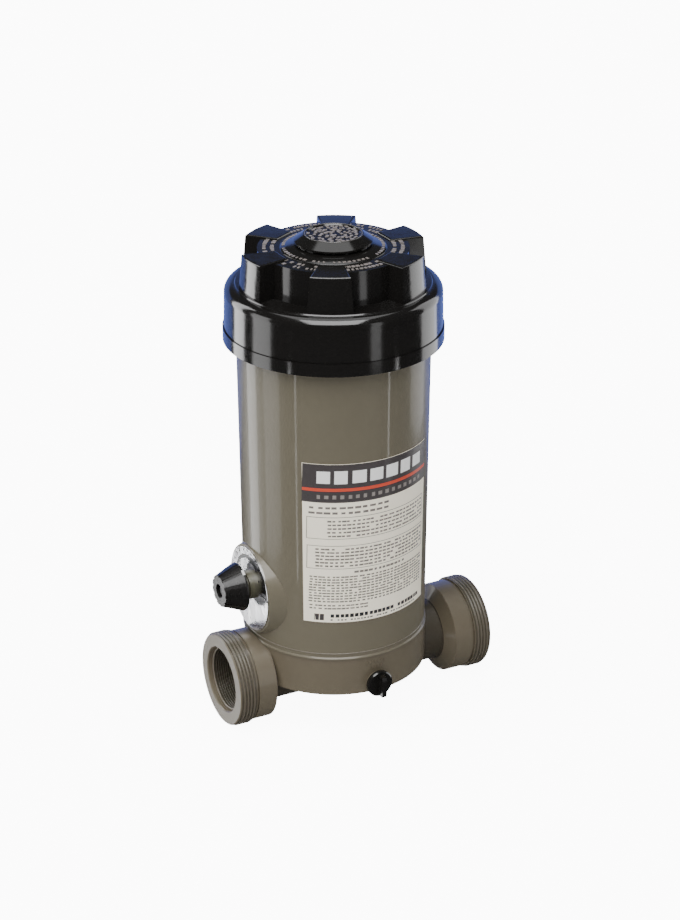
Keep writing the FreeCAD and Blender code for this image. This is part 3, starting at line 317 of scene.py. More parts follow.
def plastic(name, colour, polish, mottle=0.06, spread=0.06, ripple=0.1, scuffs=0.08,
            scuff_scale=60.0, specular=0.5, coat=0.0, mottle_scale=30.0, ripple_scale=400.0):
    """A moulded plastic; colour is in linear light and polish is its roughness."""
    material, tree, shader = new_material(name)
    skin = group_node(tree, moulded_skin, Colour=(*colour, 1), Mottle=mottle, Polish=polish,
                      Polish_Spread=spread, Ripple=ripple, Mottle_Scale=mottle_scale,
                      Ripple_Scale=ripple_scale)
    marks = group_node(tree, handling_scuffs, Scale=scuff_scale, Amount=scuffs)
    duller = calc(tree, "ADD", skin.outputs["Roughness"],
                       calc(tree, "MULTIPLY", marks.outputs["Mask"], 0.25))
    lighter = add_node(tree, "ShaderNodeMix", {"data_type": "RGBA", "blend_type": "ADD"})
    lighter.inputs[0].default_value = 1.0
    feed(tree, lighter, "6", skin.outputs["Colour"])
    feed(tree, lighter, "7", calc(tree, "MULTIPLY", marks.outputs["Mask"], 0.02))
    feed(tree, shader, "Base Color", lighter.outputs[2])
    feed(tree, shader, "Roughness", duller)
    feed(tree, shader, "Normal", skin.outputs["Normal"])
    shader.inputs["Specular IOR Level"].default_value = specular
    shader.inputs["Coat Weight"].default_value = coat
    shader.inputs["Coat Roughness"].default_value = 0.08
    return material


tank_taupe = plastic("tank_taupe", (0.124, 0.110, 0.078), 0.36, ripple=0.05, specular=0.18, coat=0.20)
base_taupe = plastic("base_taupe", (0.118, 0.099, 0.068), 0.38, mottle=0.10, ripple=0.12,
                     specular=0.28, coat=0.16)
# thread and bore taupe are darker copies of the base's taupe: painted shade on the threads and inside
# the bores
thread_taupe = plastic("thread_taupe", (0.100, 0.085, 0.062), 0.36, mottle=0.12, ripple=0.3)
bore_taupe = plastic("bore_taupe", (0.052, 0.044, 0.032), 0.36, mottle=0.2, ripple=0.3)
gloss_black = plastic("gloss_black", (0.0080, 0.0074, 0.0068), 0.13, ripple=0.05, scuffs=0.06,
                      specular=0.42)
knob_black = plastic("knob_black", (0.009, 0.0084, 0.0078), 0.28, ripple=0.2, scuffs=0.15, specular=0.28)
valve_olive = plastic("valve_olive", (0.070, 0.066, 0.040), 0.42, ripple=0.25)
inner_white = plastic("inner_white", (0.72, 0.71, 0.66), 0.40, ripple=0.2)
rubber = plastic("seal_rubber", (0.012, 0.012, 0.012), 0.62, ripple=0.6, specular=0.3)
print("plastics:", len(bpy.data.materials))

# %% [markdown]
# ## Shared effect: dark port threads
#
# Thread roots and bores get little light, so their shade is painted into the colour. A mask
# measures how far a point lies from the pipe's axis and from the nearer port face, and tells the
# base's material where to paint that shade: a little between the union ridges, and more inside the
# bores.


# %% Paint shade into the ports
CLEAN_RIM = 0.9 * MM
WALL_SLACK = 0.3 * MM
THREADED_DEPTH = 16.4 * MM


def build_port_mask():
    group, given, result = new_group(
        "port_mask", "ShaderNodeTree",
        {"Root Radius": (NUMBER, 0.04), "Bore Radius": (NUMBER, 0.03), "Depth": (NUMBER, 0.02),
         "Left Face": (NUMBER, -0.1), "Right Face": (NUMBER, 0.1), "Root Shade": (NUMBER, 0.4),
         "Bore Shade": (NUMBER, 0.5)},
        {"Shade": NUMBER},
    )
    size = given.outputs
    x, y, z = add_node(group, "ShaderNodeSeparateXYZ", Vector=object_place(group)).outputs
    flat = add_node(group, "ShaderNodeCombineXYZ", X=y, Y=z)
    from_axis = add_node(group, "ShaderNodeVectorMath", {"operation": "LENGTH"})
    feed(group, from_axis, "0", flat)
    away = from_axis.outputs["Value"]
    from_left = calc(group, "SUBTRACT", x, size["Left Face"])
    from_right = calc(group, "SUBTRACT", size["Right Face"], x)
    deep = calc(group, "MINIMUM", from_left, from_right)
    near_face = calc(group, "LESS_THAN", deep, size["Depth"])
    below_face = calc(group, "GREATER_THAN", deep, CLEAN_RIM)
    root_wall = calc(group, "SUBTRACT", size["Root Radius"], WALL_SLACK)
    root = calc(group, "GREATER_THAN", away, root_wall)
    root = calc(group, "MULTIPLY", calc(group, "MULTIPLY", root, near_face), below_face)
    bore = calc(group, "LESS_THAN", away, calc(group, "ADD", size["Bore Radius"], WALL_SLACK))
    shade = calc(group, "ADD", calc(group, "MULTIPLY", root, size["Root Shade"]),
                      calc(group, "MULTIPLY", bore, size["Bore Shade"]))
    feed(group, result, "Shade", shade)
    return group


def darken_ports(material, mask):
    """Paints shade into a material's colour: multiplies it by what the mask leaves."""
    tree = material.node_tree
    shader = tree.nodes["Principled BSDF"]
    colour = shader.inputs["Base Color"].links[0].from_socket
    painted_shade = group_node(tree, mask, Root_Radius=thread_root, Bore_Radius=socket_root,
                          Depth=THREADED_DEPTH, Left_Face=outlet_face, Right_Face=inlet_face,
                          Root_Shade=0.45, Bore_Shade=0.60)
    darker = add_node(tree, "ShaderNodeVectorMath", {"operation": "SCALE"})
    feed(tree, darker, "0", colour)
    feed(tree, darker, "Scale", calc(tree, "SUBTRACT", 1.0, painted_shade.outputs["Shade"]))
    feed(tree, shader, "Base Color", darker)


# the base's taupe gets painted shade in the thread roots and the bores
darken_ports(base_taupe, build_port_mask())
print("groups:", [group.name for group in bpy.data.node_groups])

# %% [markdown]
# ## The dial's foil and the screw's steel
#
# The dial plate is a bright foil disc. It is metal, so its colour lives in the reflection, and a
# faint crinkle in the foil breaks what it mirrors into light and dark patches. The screw in the
# knob is steel with a much finer grain, coloured almost black as painted shade for its recess.


# %% Make the metals
def metal(name, colour, polish, crinkle, crinkle_scale):
    material, tree, shader = new_material(name)
    place = object_place(tree)
    fold = add_node(tree, "ShaderNodeTexNoise", Vector=place, Scale=crinkle_scale, Detail=3.0)
    grain = add_node(tree, "ShaderNodeTexNoise", Vector=place, Scale=crinkle_scale * 12, Detail=2.0)
    height = calc(tree, "ADD", fold, calc(tree, "MULTIPLY", grain, 0.08))
    bump = add_node(tree, "ShaderNodeBump", Height=height, Strength=crinkle, Distance=0.0008)
    tone = add_node(tree, "ShaderNodeMapRange", Value=grain)
    feed(tree, tone, "To Min", polish * 0.7)
    feed(tree, tone, "To Max", polish * 1.4)
    feed(tree, shader, "Normal", bump)
    feed(tree, shader, "Roughness", tone)
    shader.inputs["Metallic"].default_value = 1.0
    shader.inputs["Base Color"].default_value = (*colour, 1)
    return material


dial_foil = metal("dial_foil", (0.86, 0.86, 0.88), 0.16, 0.22, 70.0)
screw_steel = metal("screw_steel", (0.030, 0.030, 0.032), 0.45, 0.10, 300.0)
print("metals:", dial_foil.name, screw_steel.name)

# %% [markdown]
# ## Printed film and inks
#
# The label is a film printed in a warm white, with a charcoal header and a thin red line. The
# inks lie on the film as patches of their own, so each is a plain slightly glossy plastic.

# %% Make the film and the inks
label_film = plastic("label_film", (0.95, 0.88, 0.72), 0.32, mottle=0.03, scuffs=0.1, ripple=0.05)
charcoal_ink = plastic("charcoal_ink", (0.055, 0.048, 0.048), 0.30, mottle=0.05, scuffs=0.1, ripple=0.05)
red_ink = plastic("red_ink", (0.60, 0.060, 0.028), 0.30, mottle=0.03, scuffs=0.0, ripple=0.05)
grey_ink = plastic("grey_ink", (0.17, 0.155, 0.135), 0.35, mottle=0.25, scuffs=0.0, mottle_scale=500.0)
black_ink = plastic("black_ink", (0.020, 0.020, 0.022), 0.40, mottle=0.05, scuffs=0.1)
white_ink = plastic("white_ink", (0.82, 0.82, 0.80), 0.35, mottle=0.03, scuffs=0.1)
# grey of the printed dashes on the label, and a painted highlight on the raised marks of the cover and
# the cap
mark_grey = plastic("mark_grey", (0.23, 0.205, 0.19), 0.38, mottle=0.3, scuffs=0.0, mottle_scale=400.0)
# light grey for the cap's bead ring: a painted highlight on its rim
rim_grey = plastic("rim_grey", (0.075, 0.072, 0.070), 0.30, mottle=0.1, scuffs=0.2)
seam_taupe = plastic("seam_taupe", (0.150, 0.132, 0.102), 0.30, mottle=0.25, mottle_scale=200.0)
# light taupe for the lead-in lip of the inside threads: a painted highlight on its edge
lip_taupe = plastic("lip_taupe", (0.20, 0.175, 0.14), 0.30, mottle=0.1)
print("inks made")

# %% [markdown]
# ## Finishes for the solid pieces
#
# Each piece of the frame takes its material by name. Only its material slots change.

# %% Give every solid piece its finish
FINISHES = {
    "tank": tank_taupe, "base": base_taupe,
    "neck_collar": gloss_black, "cover": gloss_black, "cover_centre_cap": gloss_black,
    "drain_plug": gloss_black, "control_knob": knob_black, "knob_screw": screw_steel,
    "valve_locknut": valve_olive, "valve_body": valve_olive, "valve_stem": valve_olive,
    "dial_plate": dial_foil, "label_sticker": label_film,
    "tablet_grate": inner_white, "inlet_riser": inner_white, "inlet_screen": inner_white,
    "outlet_tube": inner_white,
}
for name, node in frame["nodes"].items():
    node.data.materials.clear()
    node.data.materials.append(FINISHES.get(name, rubber))
print("finished pieces:", len(frame["nodes"]))

# %% [markdown]
# ## Geometry Nodes helpers
#
# The tree states the rule of what repeats once, and its named inputs hold the sizes. `grow`
# runs a tree on an empty mesh, turns the result into a plain mesh, and hands it to the body
# that carries it. A modifier's inputs are reached by their identifiers, which the tree's
# interface lists next to their names.


# %% Run a tree and keep its mesh
def keep_mesh(name, mesh, body):
    """A finished piece: its object sits at the origin and moves with its body."""
    piece = new_object(name, mesh)
    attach(piece, body)
    return piece


def evaluated_mesh(holder):
    """What an object shows once its modifier or its text is worked out, as a plain mesh."""
    bpy.context.view_layer.update()
    ready = holder.evaluated_get(bpy.context.evaluated_depsgraph_get())
    return bpy.data.meshes.new_from_object(ready)


def grow(name, tree, body, slot, **inputs):
    """Runs a geometry tree with these inputs and keeps what it makes as a plain mesh."""
    holder = new_object(name + "_maker", bpy.data.meshes.new(name + "_maker"))
    modifier = holder.modifiers.new("rule", "NODES")
    modifier.node_group = tree
    sockets = [item for item in tree.interface.items_tree
               if item.item_type == "SOCKET" and item.in_out == "INPUT"]
    for socket in sockets:
        key = socket.name.lower().replace(" ", "_")
        if key in inputs:
            modifier[socket.identifier] = inputs.pop(key)
    assert not inputs, f"{name}: the tree has no input for {sorted(inputs)}"
    mesh = evaluated_mesh(holder)
    mesh.name = name
    holder.modifiers.remove(modifier)
    bpy.data.objects.remove(holder)
    print(f"{name}: {len(mesh.polygons)} faces")
    return keep_mesh(name, mesh, body)


def finish_tree(tree, shape, given, result):
    """Realizes instances and sets the material, as the last steps of a tree."""
    real = add_node(tree, "GeometryNodeRealizeInstances", Geometry=shape)
    coated = add_node(tree, "GeometryNodeSetMaterial", Geometry=real,
                      Material=given.outputs["Material"])
    feed(tree, result, "Geometry", coated)


def kept_points(tree, size):
    """True for the points that keep their mark; a Gap Share of them loses it."""
    dropped = add_node(tree, "FunctionNodeRandomValue", {"data_type": "BOOLEAN"},
                       Probability=size["Gap Share"], Seed=size["Seed"])
    kept = add_node(tree, "FunctionNodeBooleanMath", {"operation": "NOT"})
    feed(tree, kept, "0", dropped.outputs[3])
    return kept


def chance(tree, size, shift, low, high):
    """A random number for each point; shift keeps two draws of one tree apart."""
    node = add_node(tree, "FunctionNodeRandomValue", {"data_type": "FLOAT"},
                    Seed=calc(tree, "ADD", size["Seed"], shift))
    feed(tree, node, "2", low)
    feed(tree, node, "3", high)
    return node.outputs[1]


# %% [markdown]
# ## Threads
#
# A thread is a ridge wound on a cylinder. A spiral curve carries a profile of four corners, wide
# at the foot and narrow at the crest, and the foot sinks a little into the wall. The scale
# input of Curve to Mesh follows the distance along the spiral, so both ends of the ridge run
# out to nothing, as a moulded thread does. A spiral with Reverse on is right-handed.


# %% Build the thread tree
def build_thread_tree():
    tree, given, result = new_group(
        "wound_ridge", "GeometryNodeTree",
        {
            "Radius": (NUMBER, 0.04), "Length": (NUMBER, 0.01), "Turns": (NUMBER, 5.0),
            "Foot": (NUMBER, 0.002), "Crest": (NUMBER, 0.0006), "Height": (NUMBER, 0.0006),
            "Sink": (NUMBER, 0.0002), "Steps": (COUNT, 96), "Run Out": (NUMBER, 0.04),
            "Place": (VECTOR, (0, 0, 0)), "Turn": (VECTOR, (0, 0, 0)), "Material": (MATERIAL, None),
        },
        {"Geometry": GEOMETRY},
    )
    size = given.outputs
    spiral = add_node(tree, "GeometryNodeCurveSpiral", Resolution=size["Steps"], Rotations=size["Turns"],
                      Start_Radius=size["Radius"], End_Radius=size["Radius"], Height=size["Length"],
                      Reverse=True)
    upright = add_node(tree, "GeometryNodeSetCurveNormal", Curve=spiral)
    upright.mode = "Z_UP"
    half_foot = calc(tree, "MULTIPLY", size["Foot"], 0.5)
    half_crest = calc(tree, "MULTIPLY", size["Crest"], 0.5)
    low = calc(tree, "MULTIPLY", size["Sink"], -1.0)
    outline = add_node(tree, "GeometryNodeCurvePrimitiveQuadrilateral", {"mode": "POINTS"})
    corners = ((size["Height"], half_crest, -1), (size["Height"], half_crest, 1),
               (low, half_foot, 1), (low, half_foot, -1))
    for number, (out, across, side) in enumerate(corners, 1):
        corner = add_node(tree, "ShaderNodeCombineXYZ", X=out, Y=calc(tree, "MULTIPLY", across, side))
        feed(tree, outline, f"Point {number}", corner)
    along = add_node(tree, "GeometryNodeSplineParameter").outputs["Factor"]
    from_end = calc(tree, "MINIMUM", along, calc(tree, "SUBTRACT", 1.0, along))
    fade = calc(tree, "DIVIDE", from_end, size["Run Out"])
    scale = calc(tree, "MAXIMUM", calc(tree, "MINIMUM", fade, 1.0), 0.02)
    ridge = add_node(tree, "GeometryNodeCurveToMesh", Curve=upright,
                     Profile_Curve=outline, Scale=scale, Fill_Caps=True)
    placed = add_node(tree, "GeometryNodeTransform", Geometry=ridge,
                      Translation=size["Place"], Rotation=size["Turn"])
    finish_tree(tree, placed, given, result)
    return tree


wound_ridge = build_thread_tree()

# %% [markdown]
# ### The port threads
#
# Both ports take a coarse union nut outside and a finer pipe thread inside. A ridge inside a
# bore points the other way, so all four of its measures are negative: the outline is mirrored
# twice, and its faces still point out of the ridge. One loop serves both ports.

# %% Wind the threads of both ports
UNION_PITCH = 3.2 * MM
UNION_LENGTH = 14.4 * MM
UNION_START = 1.6 * MM
UNION_HEIGHT = 0.95 * MM
PIPE_PITCH = 2.2 * MM
PIPE_START = 5.6 * MM
PIPE_LENGTH = 20.8 * MM
PIPE_HEIGHT = 0.95 * MM
QUARTER = math.pi / 2

# the union ridges and the pipe threads take the darker taupes, which are painted shade
for port, face, way in (("outlet", outlet_face, 1), ("inlet", inlet_face, -1)):
    grow(f"{port}_union_thread", wound_ridge, "vessel", "taupe_plastic", radius=thread_root,
         length=UNION_LENGTH, turns=UNION_LENGTH / UNION_PITCH, foot=UNION_PITCH * 0.86,
         crest=UNION_PITCH * 0.28, height=UNION_HEIGHT, sink=0.25 * MM, steps=96, run_out=0.05,
         place=(face + way * UNION_START, 0, 0), turn=(0, way * QUARTER, 0), material=thread_taupe)
    grow(f"{port}_pipe_thread", wound_ridge, "vessel", "taupe_plastic", radius=socket_root,
         length=PIPE_LENGTH, turns=PIPE_LENGTH / PIPE_PITCH, foot=-PIPE_PITCH * 0.9,
         crest=-PIPE_PITCH * 0.2, height=-PIPE_HEIGHT, sink=-0.25 * MM, steps=72, run_out=0.05,
         place=(face + way * PIPE_START, 0, 0), turn=(0, way * QUARTER, 0), material=bore_taupe)

# %% [markdown]
# ### The cover thread
#
# Under the cover's skirt the neck carries a coarse thread of 8 mm pitch. The cover has the
# matching ridge half a pitch above it. The first rides on the vessel and the second on the lid,
# so they part when the cover is screwed off.

# %% Wind the neck thread and the cover thread
COVER_PITCH = 8.0 * MM
NECK_RADIUS = 90.2 * MM
SKIRT_BORE = 91.8 * MM
NECK_THREAD_FOOT = 335.0 * MM
COVER_THREAD_FOOT = 334.5 * MM
NECK_TURNS = 2.2
COVER_TURNS = 1.6
TOOTH = 2.4 * MM

grow("neck_thread", wound_ridge, "vessel", "black_plastic", radius=NECK_RADIUS,
     length=COVER_PITCH * NECK_TURNS, turns=NECK_TURNS, foot=TOOTH, crest=TOOTH * 0.5,
     height=1.2 * MM, sink=0.3 * MM, steps=128, run_out=0.06,
     place=(0, 0, NECK_THREAD_FOOT), material=gloss_black)
grow("cover_thread", wound_ridge, "lid", "black_plastic", radius=SKIRT_BORE,
     length=COVER_PITCH * COVER_TURNS, turns=COVER_TURNS, foot=-TOOTH, crest=-TOOTH * 0.5,
     height=-1.2 * MM, sink=-0.3 * MM, steps=128, run_out=0.06,
     place=(0, 0, COVER_THREAD_FOOT + COVER_PITCH / 2), material=gloss_black)

# %% [markdown]
# ## Raised marks on the cover
#
# The top of the cover carries three rings of small raised dashes of uneven length, which catch
# the light; their grey colour is a painted highlight for those glints. Points on a circle carry
# a small block each. A seed sets the length of each dash and which ones are missing.


# %% Build the tree for rings of dashes
def build_ring_tree():
    tree, given, result = new_group(
        "ring_of_dashes", "GeometryNodeTree",
        {
            "Radius": (NUMBER, 0.05), "Count": (COUNT, 60), "Dash": (VECTOR, (0.002, 0.003, 0.001)),
            "Gap Share": (NUMBER, 0.15), "Height": (NUMBER, 0.4), "Wander": (NUMBER, 0.0),
            "Twist": (NUMBER, 0.0), "Seed": (COUNT, 1), "Material": (MATERIAL, None),
        },
        {"Geometry": GEOMETRY},
    )
    size = given.outputs
    ring = add_node(tree, "GeometryNodeMeshCircle", Vertices=size["Count"], Radius=size["Radius"])
    block = add_node(tree, "GeometryNodeMeshCube", Size=size["Dash"])
    where = add_node(tree, "GeometryNodeInputPosition")
    facing = add_node(tree, "FunctionNodeAlignRotationToVector", {"axis": "Y"}, Vector=where)
    stray_x, stray_y, twist = [
        chance(tree, size, shift, calc(tree, "MULTIPLY", size[measure], -1.0), size[measure])
        for measure, shift in (("Wander", 11.0), ("Wander", 13.0), ("Twist", 17.0))]
    strayed = add_node(tree, "ShaderNodeCombineXYZ", X=stray_x, Y=stray_y)
    loose = add_node(tree, "GeometryNodeSetPosition", Geometry=ring, Offset=strayed)
    turned = add_node(tree, "FunctionNodeRotateRotation", {"rotation_space": "LOCAL"},
                      Rotation=facing)
    feed(tree, turned, "1", add_node(tree, "ShaderNodeCombineXYZ", Z=twist))
    stretch = add_node(tree, "FunctionNodeRandomValue", {"data_type": "FLOAT_VECTOR"},
                       Min=(0.45, 0.75, 1.0), Max=(1.15, 1.05, 1.0),
                       Seed=calc(tree, "ADD", size["Seed"], 7.0))
    dashes = add_node(tree, "GeometryNodeInstanceOnPoints", Points=loose,
                      Selection=kept_points(tree, size), Instance=block,
                      Rotation=turned, Scale=stretch)
    lift = add_node(tree, "ShaderNodeCombineXYZ", Z=size["Height"])
    raised = add_node(tree, "GeometryNodeTransform", Geometry=dashes,
                      Translation=lift)
    finish_tree(tree, raised, given, result)
    return tree


ring_of_dashes = build_ring_tree()

# %% Set the rings on the cover and the marks in the cap's dish
cover_top = 400.4 * MM
cap_dish = 412.2 * MM
DASH_RISE = 0.9 * MM
# the cover's and the cap's marks take the grey as a painted highlight
for number, (radius, count, rise) in enumerate(((60.5, 96, 0.0), (53.5, 84, 0.0), (43.5, 62, 1.0)), 1):
    grow(f"cover_marks_{number}", ring_of_dashes, "lid", "black_plastic", radius=radius * MM,
         count=count, dash=(3.0 * MM, 3.6 * MM, DASH_RISE), gap_share=0.16,
         height=cover_top + rise * MM, seed=number, material=mark_grey)
for number, (radius, count) in enumerate(((20.5, 34), (16.2, 27), (11.6, 19), (7.0, 11), (2.6, 4)), 1):
    grow(f"cap_marks_{number}", ring_of_dashes, "lid", "black_plastic", radius=radius * MM,
         count=count, dash=(3.6 * MM, 2.6 * MM, 0.8 * MM), gap_share=0.14, height=cap_dish,
         wander=1.6 * MM, twist=0.9, seed=20 + number, material=mark_grey)

# %% [markdown]
# ## Printing on the label
#
# The label is printed with rows of plain bars. They are laid out flat first, as a printer
# would: a grid of points, a bar on each, its length drawn by chance and some left out, so that
# rows read as fine print from a step away. The last node rolls the sheet round the tapered
# tank: the distance across becomes an angle, and the height picks the radius.


# %% Build the tree for printed rows
BAR_STEP = 3.0 * MM  # a bar is cut about this often, so that it bends with the wall


def build_print_tree():
    tree, given, result = new_group(
        "printed_rows", "GeometryNodeTree",
        {
            "Left": (NUMBER, 0.0), "Width": (NUMBER, 0.1), "Bottom": (NUMBER, 0.1),
            "Height": (NUMBER, 0.05), "Columns": (COUNT, 12), "Rows": (COUNT, 6),
            "Bar": (VECTOR, (0.006, 0.001, 0.0001)), "Gap Share": (NUMBER, 0.1),
            "Shortest": (NUMBER, 0.5), "Seed": (COUNT, 1), "Foot Height": (NUMBER, 0.037),
            "Foot Radius": (NUMBER, 0.0835), "Taper": (NUMBER, 0.011), "Stand": (NUMBER, 0.0006),
            "Material": (MATERIAL, None),
        },
        {"Geometry": GEOMETRY},
    )
    size = given.outputs
    grid = add_node(tree, "GeometryNodeMeshGrid", Size_X=size["Width"], Size_Y=size["Height"],
                    Vertices_X=size["Columns"], Vertices_Y=size["Rows"])
    half_width = calc(tree, "MULTIPLY", size["Width"], 0.5)
    half_height = calc(tree, "MULTIPLY", size["Height"], 0.5)
    middle = add_node(tree, "ShaderNodeCombineXYZ", X=calc(tree, "ADD", size["Left"], half_width),
                      Y=calc(tree, "ADD", size["Bottom"], half_height))
    sheet = add_node(tree, "GeometryNodeTransform", Geometry=grid, Translation=middle)
    shortest = add_node(tree, "ShaderNodeCombineXYZ", X=size["Shortest"], Y=0.85, Z=1.0)
    stretch = add_node(tree, "FunctionNodeRandomValue", {"data_type": "FLOAT_VECTOR"},
                       Min=shortest, Max=(1.0, 1.0, 1.0),
                       Seed=calc(tree, "ADD", size["Seed"], 3.0))
    cell = add_node(tree, "ShaderNodeSeparateXYZ", Vector=size["Bar"])
    drawn = add_node(tree, "ShaderNodeSeparateXYZ", Vector=stretch)
    room = calc(tree, "SUBTRACT", 1.0, drawn)
    side = chance(tree, size, 5.0, -0.5, 0.5)
    slip = calc(tree, "MULTIPLY", calc(tree, "MULTIPLY", room, side), cell)
    loose = add_node(tree, "GeometryNodeSetPosition", Geometry=sheet,
                     Offset=add_node(tree, "ShaderNodeCombineXYZ", X=slip))
    cuts = calc(tree, "ADD", calc(tree, "DIVIDE", cell, BAR_STEP), 2.0)
    bar = add_node(tree, "GeometryNodeMeshCube", Size=size["Bar"], Vertices_X=cuts)
    bars = add_node(tree, "GeometryNodeInstanceOnPoints", Points=loose,
                    Selection=kept_points(tree, size), Instance=bar, Scale=stretch)
    flat = add_node(tree, "GeometryNodeRealizeInstances", Geometry=bars)
    spot = add_node(tree, "ShaderNodeSeparateXYZ",
                    Vector=add_node(tree, "GeometryNodeInputPosition"))
    across, up, out = spot.outputs
    climb = calc(tree, "MULTIPLY", calc(tree, "SUBTRACT", up, size["Foot Height"]), size["Taper"])
    wall = calc(tree, "ADD", size["Foot Radius"], climb)
    radius = calc(tree, "ADD", calc(tree, "ADD", wall, size["Stand"]), out)
    angle = calc(tree, "DIVIDE", across, wall)
    rolled = add_node(tree, "ShaderNodeCombineXYZ",
                      X=calc(tree, "MULTIPLY", radius, calc(tree, "COSINE", angle)),
                      Y=calc(tree, "MULTIPLY", radius, calc(tree, "SINE", angle)), Z=up)
    wrapped = add_node(tree, "GeometryNodeSetPosition", Geometry=flat, Position=rolled)
    finish_tree(tree, wrapped, given, result)
    return tree


printed_rows = build_print_tree()

# %% [markdown]
# ### What is printed where
#
# Heights are measured up the vessel. The header is one wide charcoal bar with a red line across
# it, a row of white blocks over the line and a row of dashes under it. Below come short heads,
# ruled fields and rows of fine bars. Shares across the label count from its left margin.

# %% Print the label
LABEL_HIGH = reach("label_sticker", HIGH, "z")
LABEL_LEFT = math.radians(-136.0)
LABEL_RIGHT = math.radians(-48.0)
HEADER_LOW = 194.0 * MM
INK = 0.06 * MM
FILM_FACE = 0.5 * MM
MARGIN = 5.0 * MM
TAPER = (tank_top_radius - tank_foot_radius) / (tank_top - tank_foot)


def print_rows(name, low, high, rows, columns, bar_share, bar_height, ink, seed, start, end,
               gap_share, shortest, margin=MARGIN, layer=1):
    """Rows of bars between two heights; start and end are shares of the printable width."""
    radius = tank_radius((low + high) / 2)
    left, right = LABEL_LEFT * radius + margin, LABEL_RIGHT * radius - margin
    span = (right - left) * (end - start)
    pitch = span / columns
    return grow(f"label_{name}", printed_rows, "vessel", "label_film",
                left=left + (right - left) * start + pitch / 2, width=span - pitch, bottom=low,
                height=high - low, columns=columns, rows=rows,
                bar=(pitch * bar_share, bar_height, INK), gap_share=gap_share, shortest=shortest,
                seed=seed, foot_height=tank_foot, foot_radius=tank_foot_radius, taper=TAPER,
                stand=FILM_FACE + INK * (layer - 0.45), material=ink)


def print_band(name, low, high, ink, layer=1, start=0.0, end=1.0, margin=0.0):
    """One unbroken bar between two heights."""
    middle = (low + high) / 2
    return print_rows(name, middle, middle, 1, 1, 1.0, high - low, ink, 1, start, end, 0.0, 1.0,
                      margin, layer)


print_band("header", HEADER_LOW, LABEL_HIGH - 0.1 * MM, charcoal_ink)
print_band("red_line", 205.0 * MM, 208.0 * MM, red_ink, layer=2)
# name, lowest and highest row in mm, rows, columns, share and height of a bar, ink,
# start and end across the label, gap share, shortest bar, layer of ink
ROWS = (
    ("header_blocks", 218.5, 218.5, 1, 7, 0.80, 12.5, white_ink, 0.05, 0.97, 0.00, 0.86, 2),
    ("header_dashes", 199.6, 199.6, 1, 16, 0.60, 3.8, mark_grey, 0.05, 0.97, 0.00, 0.70, 2),
    ("heads", 184.0, 189.0, 2, 11, 0.94, 2.2, grey_ink, 0.00, 0.62, 0.05, 0.55, 1),
    ("field_one", 161.5, 176.0, 5, 24, 0.97, 1.7, grey_ink, 0.14, 1.00, 0.05, 0.55, 1),
    ("field_two", 132.0, 148.5, 6, 26, 0.97, 1.7, grey_ink, 0.05, 1.00, 0.05, 0.55, 1),
    ("middle_head", 125.5, 125.5, 1, 12, 0.95, 2.2, grey_ink, 0.34, 0.78, 0.00, 0.55, 1),
    ("fine_print", 96.5, 121.0, 10, 30, 0.97, 1.5, grey_ink, 0.00, 1.00, 0.04, 0.55, 1),
    ("last_rows", 89.5, 92.5, 2, 13, 0.97, 1.5, grey_ink, 0.00, 0.45, 0.08, 0.55, 1),
    ("foot_blocks", 82.2, 82.2, 1, 22, 0.90, 3.7, black_ink, 0.16, 0.97, 0.06, 0.75, 1),
    ("foot_row", 78.1, 78.1, 1, 30, 0.90, 1.6, grey_ink, 0.16, 0.92, 0.08, 0.55, 1),
)
FIRST_SEED = 4
for seed, (name, low, high, rows, columns, share, tall, ink, *rest) in enumerate(ROWS, FIRST_SEED):
    start, end, gap_share, shortest, layer = rest
    print_rows(name, low * MM, high * MM, rows, columns, share, tall * MM, ink, seed, start, end,
               gap_share, shortest, layer=layer)
print_band("foot_square", 77.6 * MM, 84.0 * MM, charcoal_ink, start=0.04, end=0.115, margin=MARGIN)

# %% [markdown]
# ### Ruled boxes
#
# Two thin frames divide the print. Each side of a frame is an unbroken bar of its own.

# %% Rule the two frames
RULE = 0.5 * MM
RULE_SHARE = 0.005
RULE_MARGIN = MARGIN * 0.7
for box_name, low, high in (("upper", 158.5 * MM, 179.5 * MM), ("lower", 129.0 * MM, 151.5 * MM)):
    for side, foot, top, start, end in (("foot", low, low + RULE, 0.0, 1.0),
                                        ("top", high, high + RULE, 0.0, 1.0),
                                        ("left", low, high, 0.0, RULE_SHARE),
                                        ("right", low, high, 1 - RULE_SHARE, 1.0)):
        print_band(f"{box_name}_rule_{side}", foot, top, grey_ink, start=start, end=end,
                   margin=RULE_MARGIN)

# %% [markdown]
# ## Printing on the dial plate
#
# The scale is printed round the valve's axis: a tick each fifteen degrees, a long dash at the
# zero, a dot, plain numbers, and a dark crescent that grows towards "more". Flat shapes are
# drawn in the plane of the plate from an angle and a radius, and given a hair of thickness.

# %% Draw flat shapes on the plate
AXIS_HEIGHT = (reach("control_knob", LOW, "z") + reach("control_knob", HIGH, "z")) / 2
PLATE_FACE = reach("dial_plate", LOW, "x")
PRINT_DEPTH = 0.05 * MM


def on_dial(radius, degrees, x):
    """A point round the valve's axis: angles run from the top towards the drain side."""
    turn = math.radians(degrees)
    return (x, -radius * math.sin(turn), AXIS_HEIGHT + radius * math.cos(turn))


def dial_strip(inner, outer, face, back):
    """A flat strip between two rows of points; each row is a list of (radius, degrees)."""
    count = len(inner)
    points = [on_dial(r, a, x) for x in (face, back) for row in (inner, outer) for r, a in row]
    faces = []
    for i in range(count - 1):
        a, b, c, d = i, i + 1, count + i + 1, count + i
        faces.append((a, b, c, d))
        faces.append(tuple(v + 2 * count for v in (d, c, b, a)))
        faces.append((b, a, a + 2 * count, b + 2 * count))
        faces.append((d, c, c + 2 * count, d + 2 * count))
    last = count - 1
    faces.append((0, count, 3 * count, 2 * count))
    faces.append((count + last, last, 2 * count + last, 3 * count + last))
    return points, faces


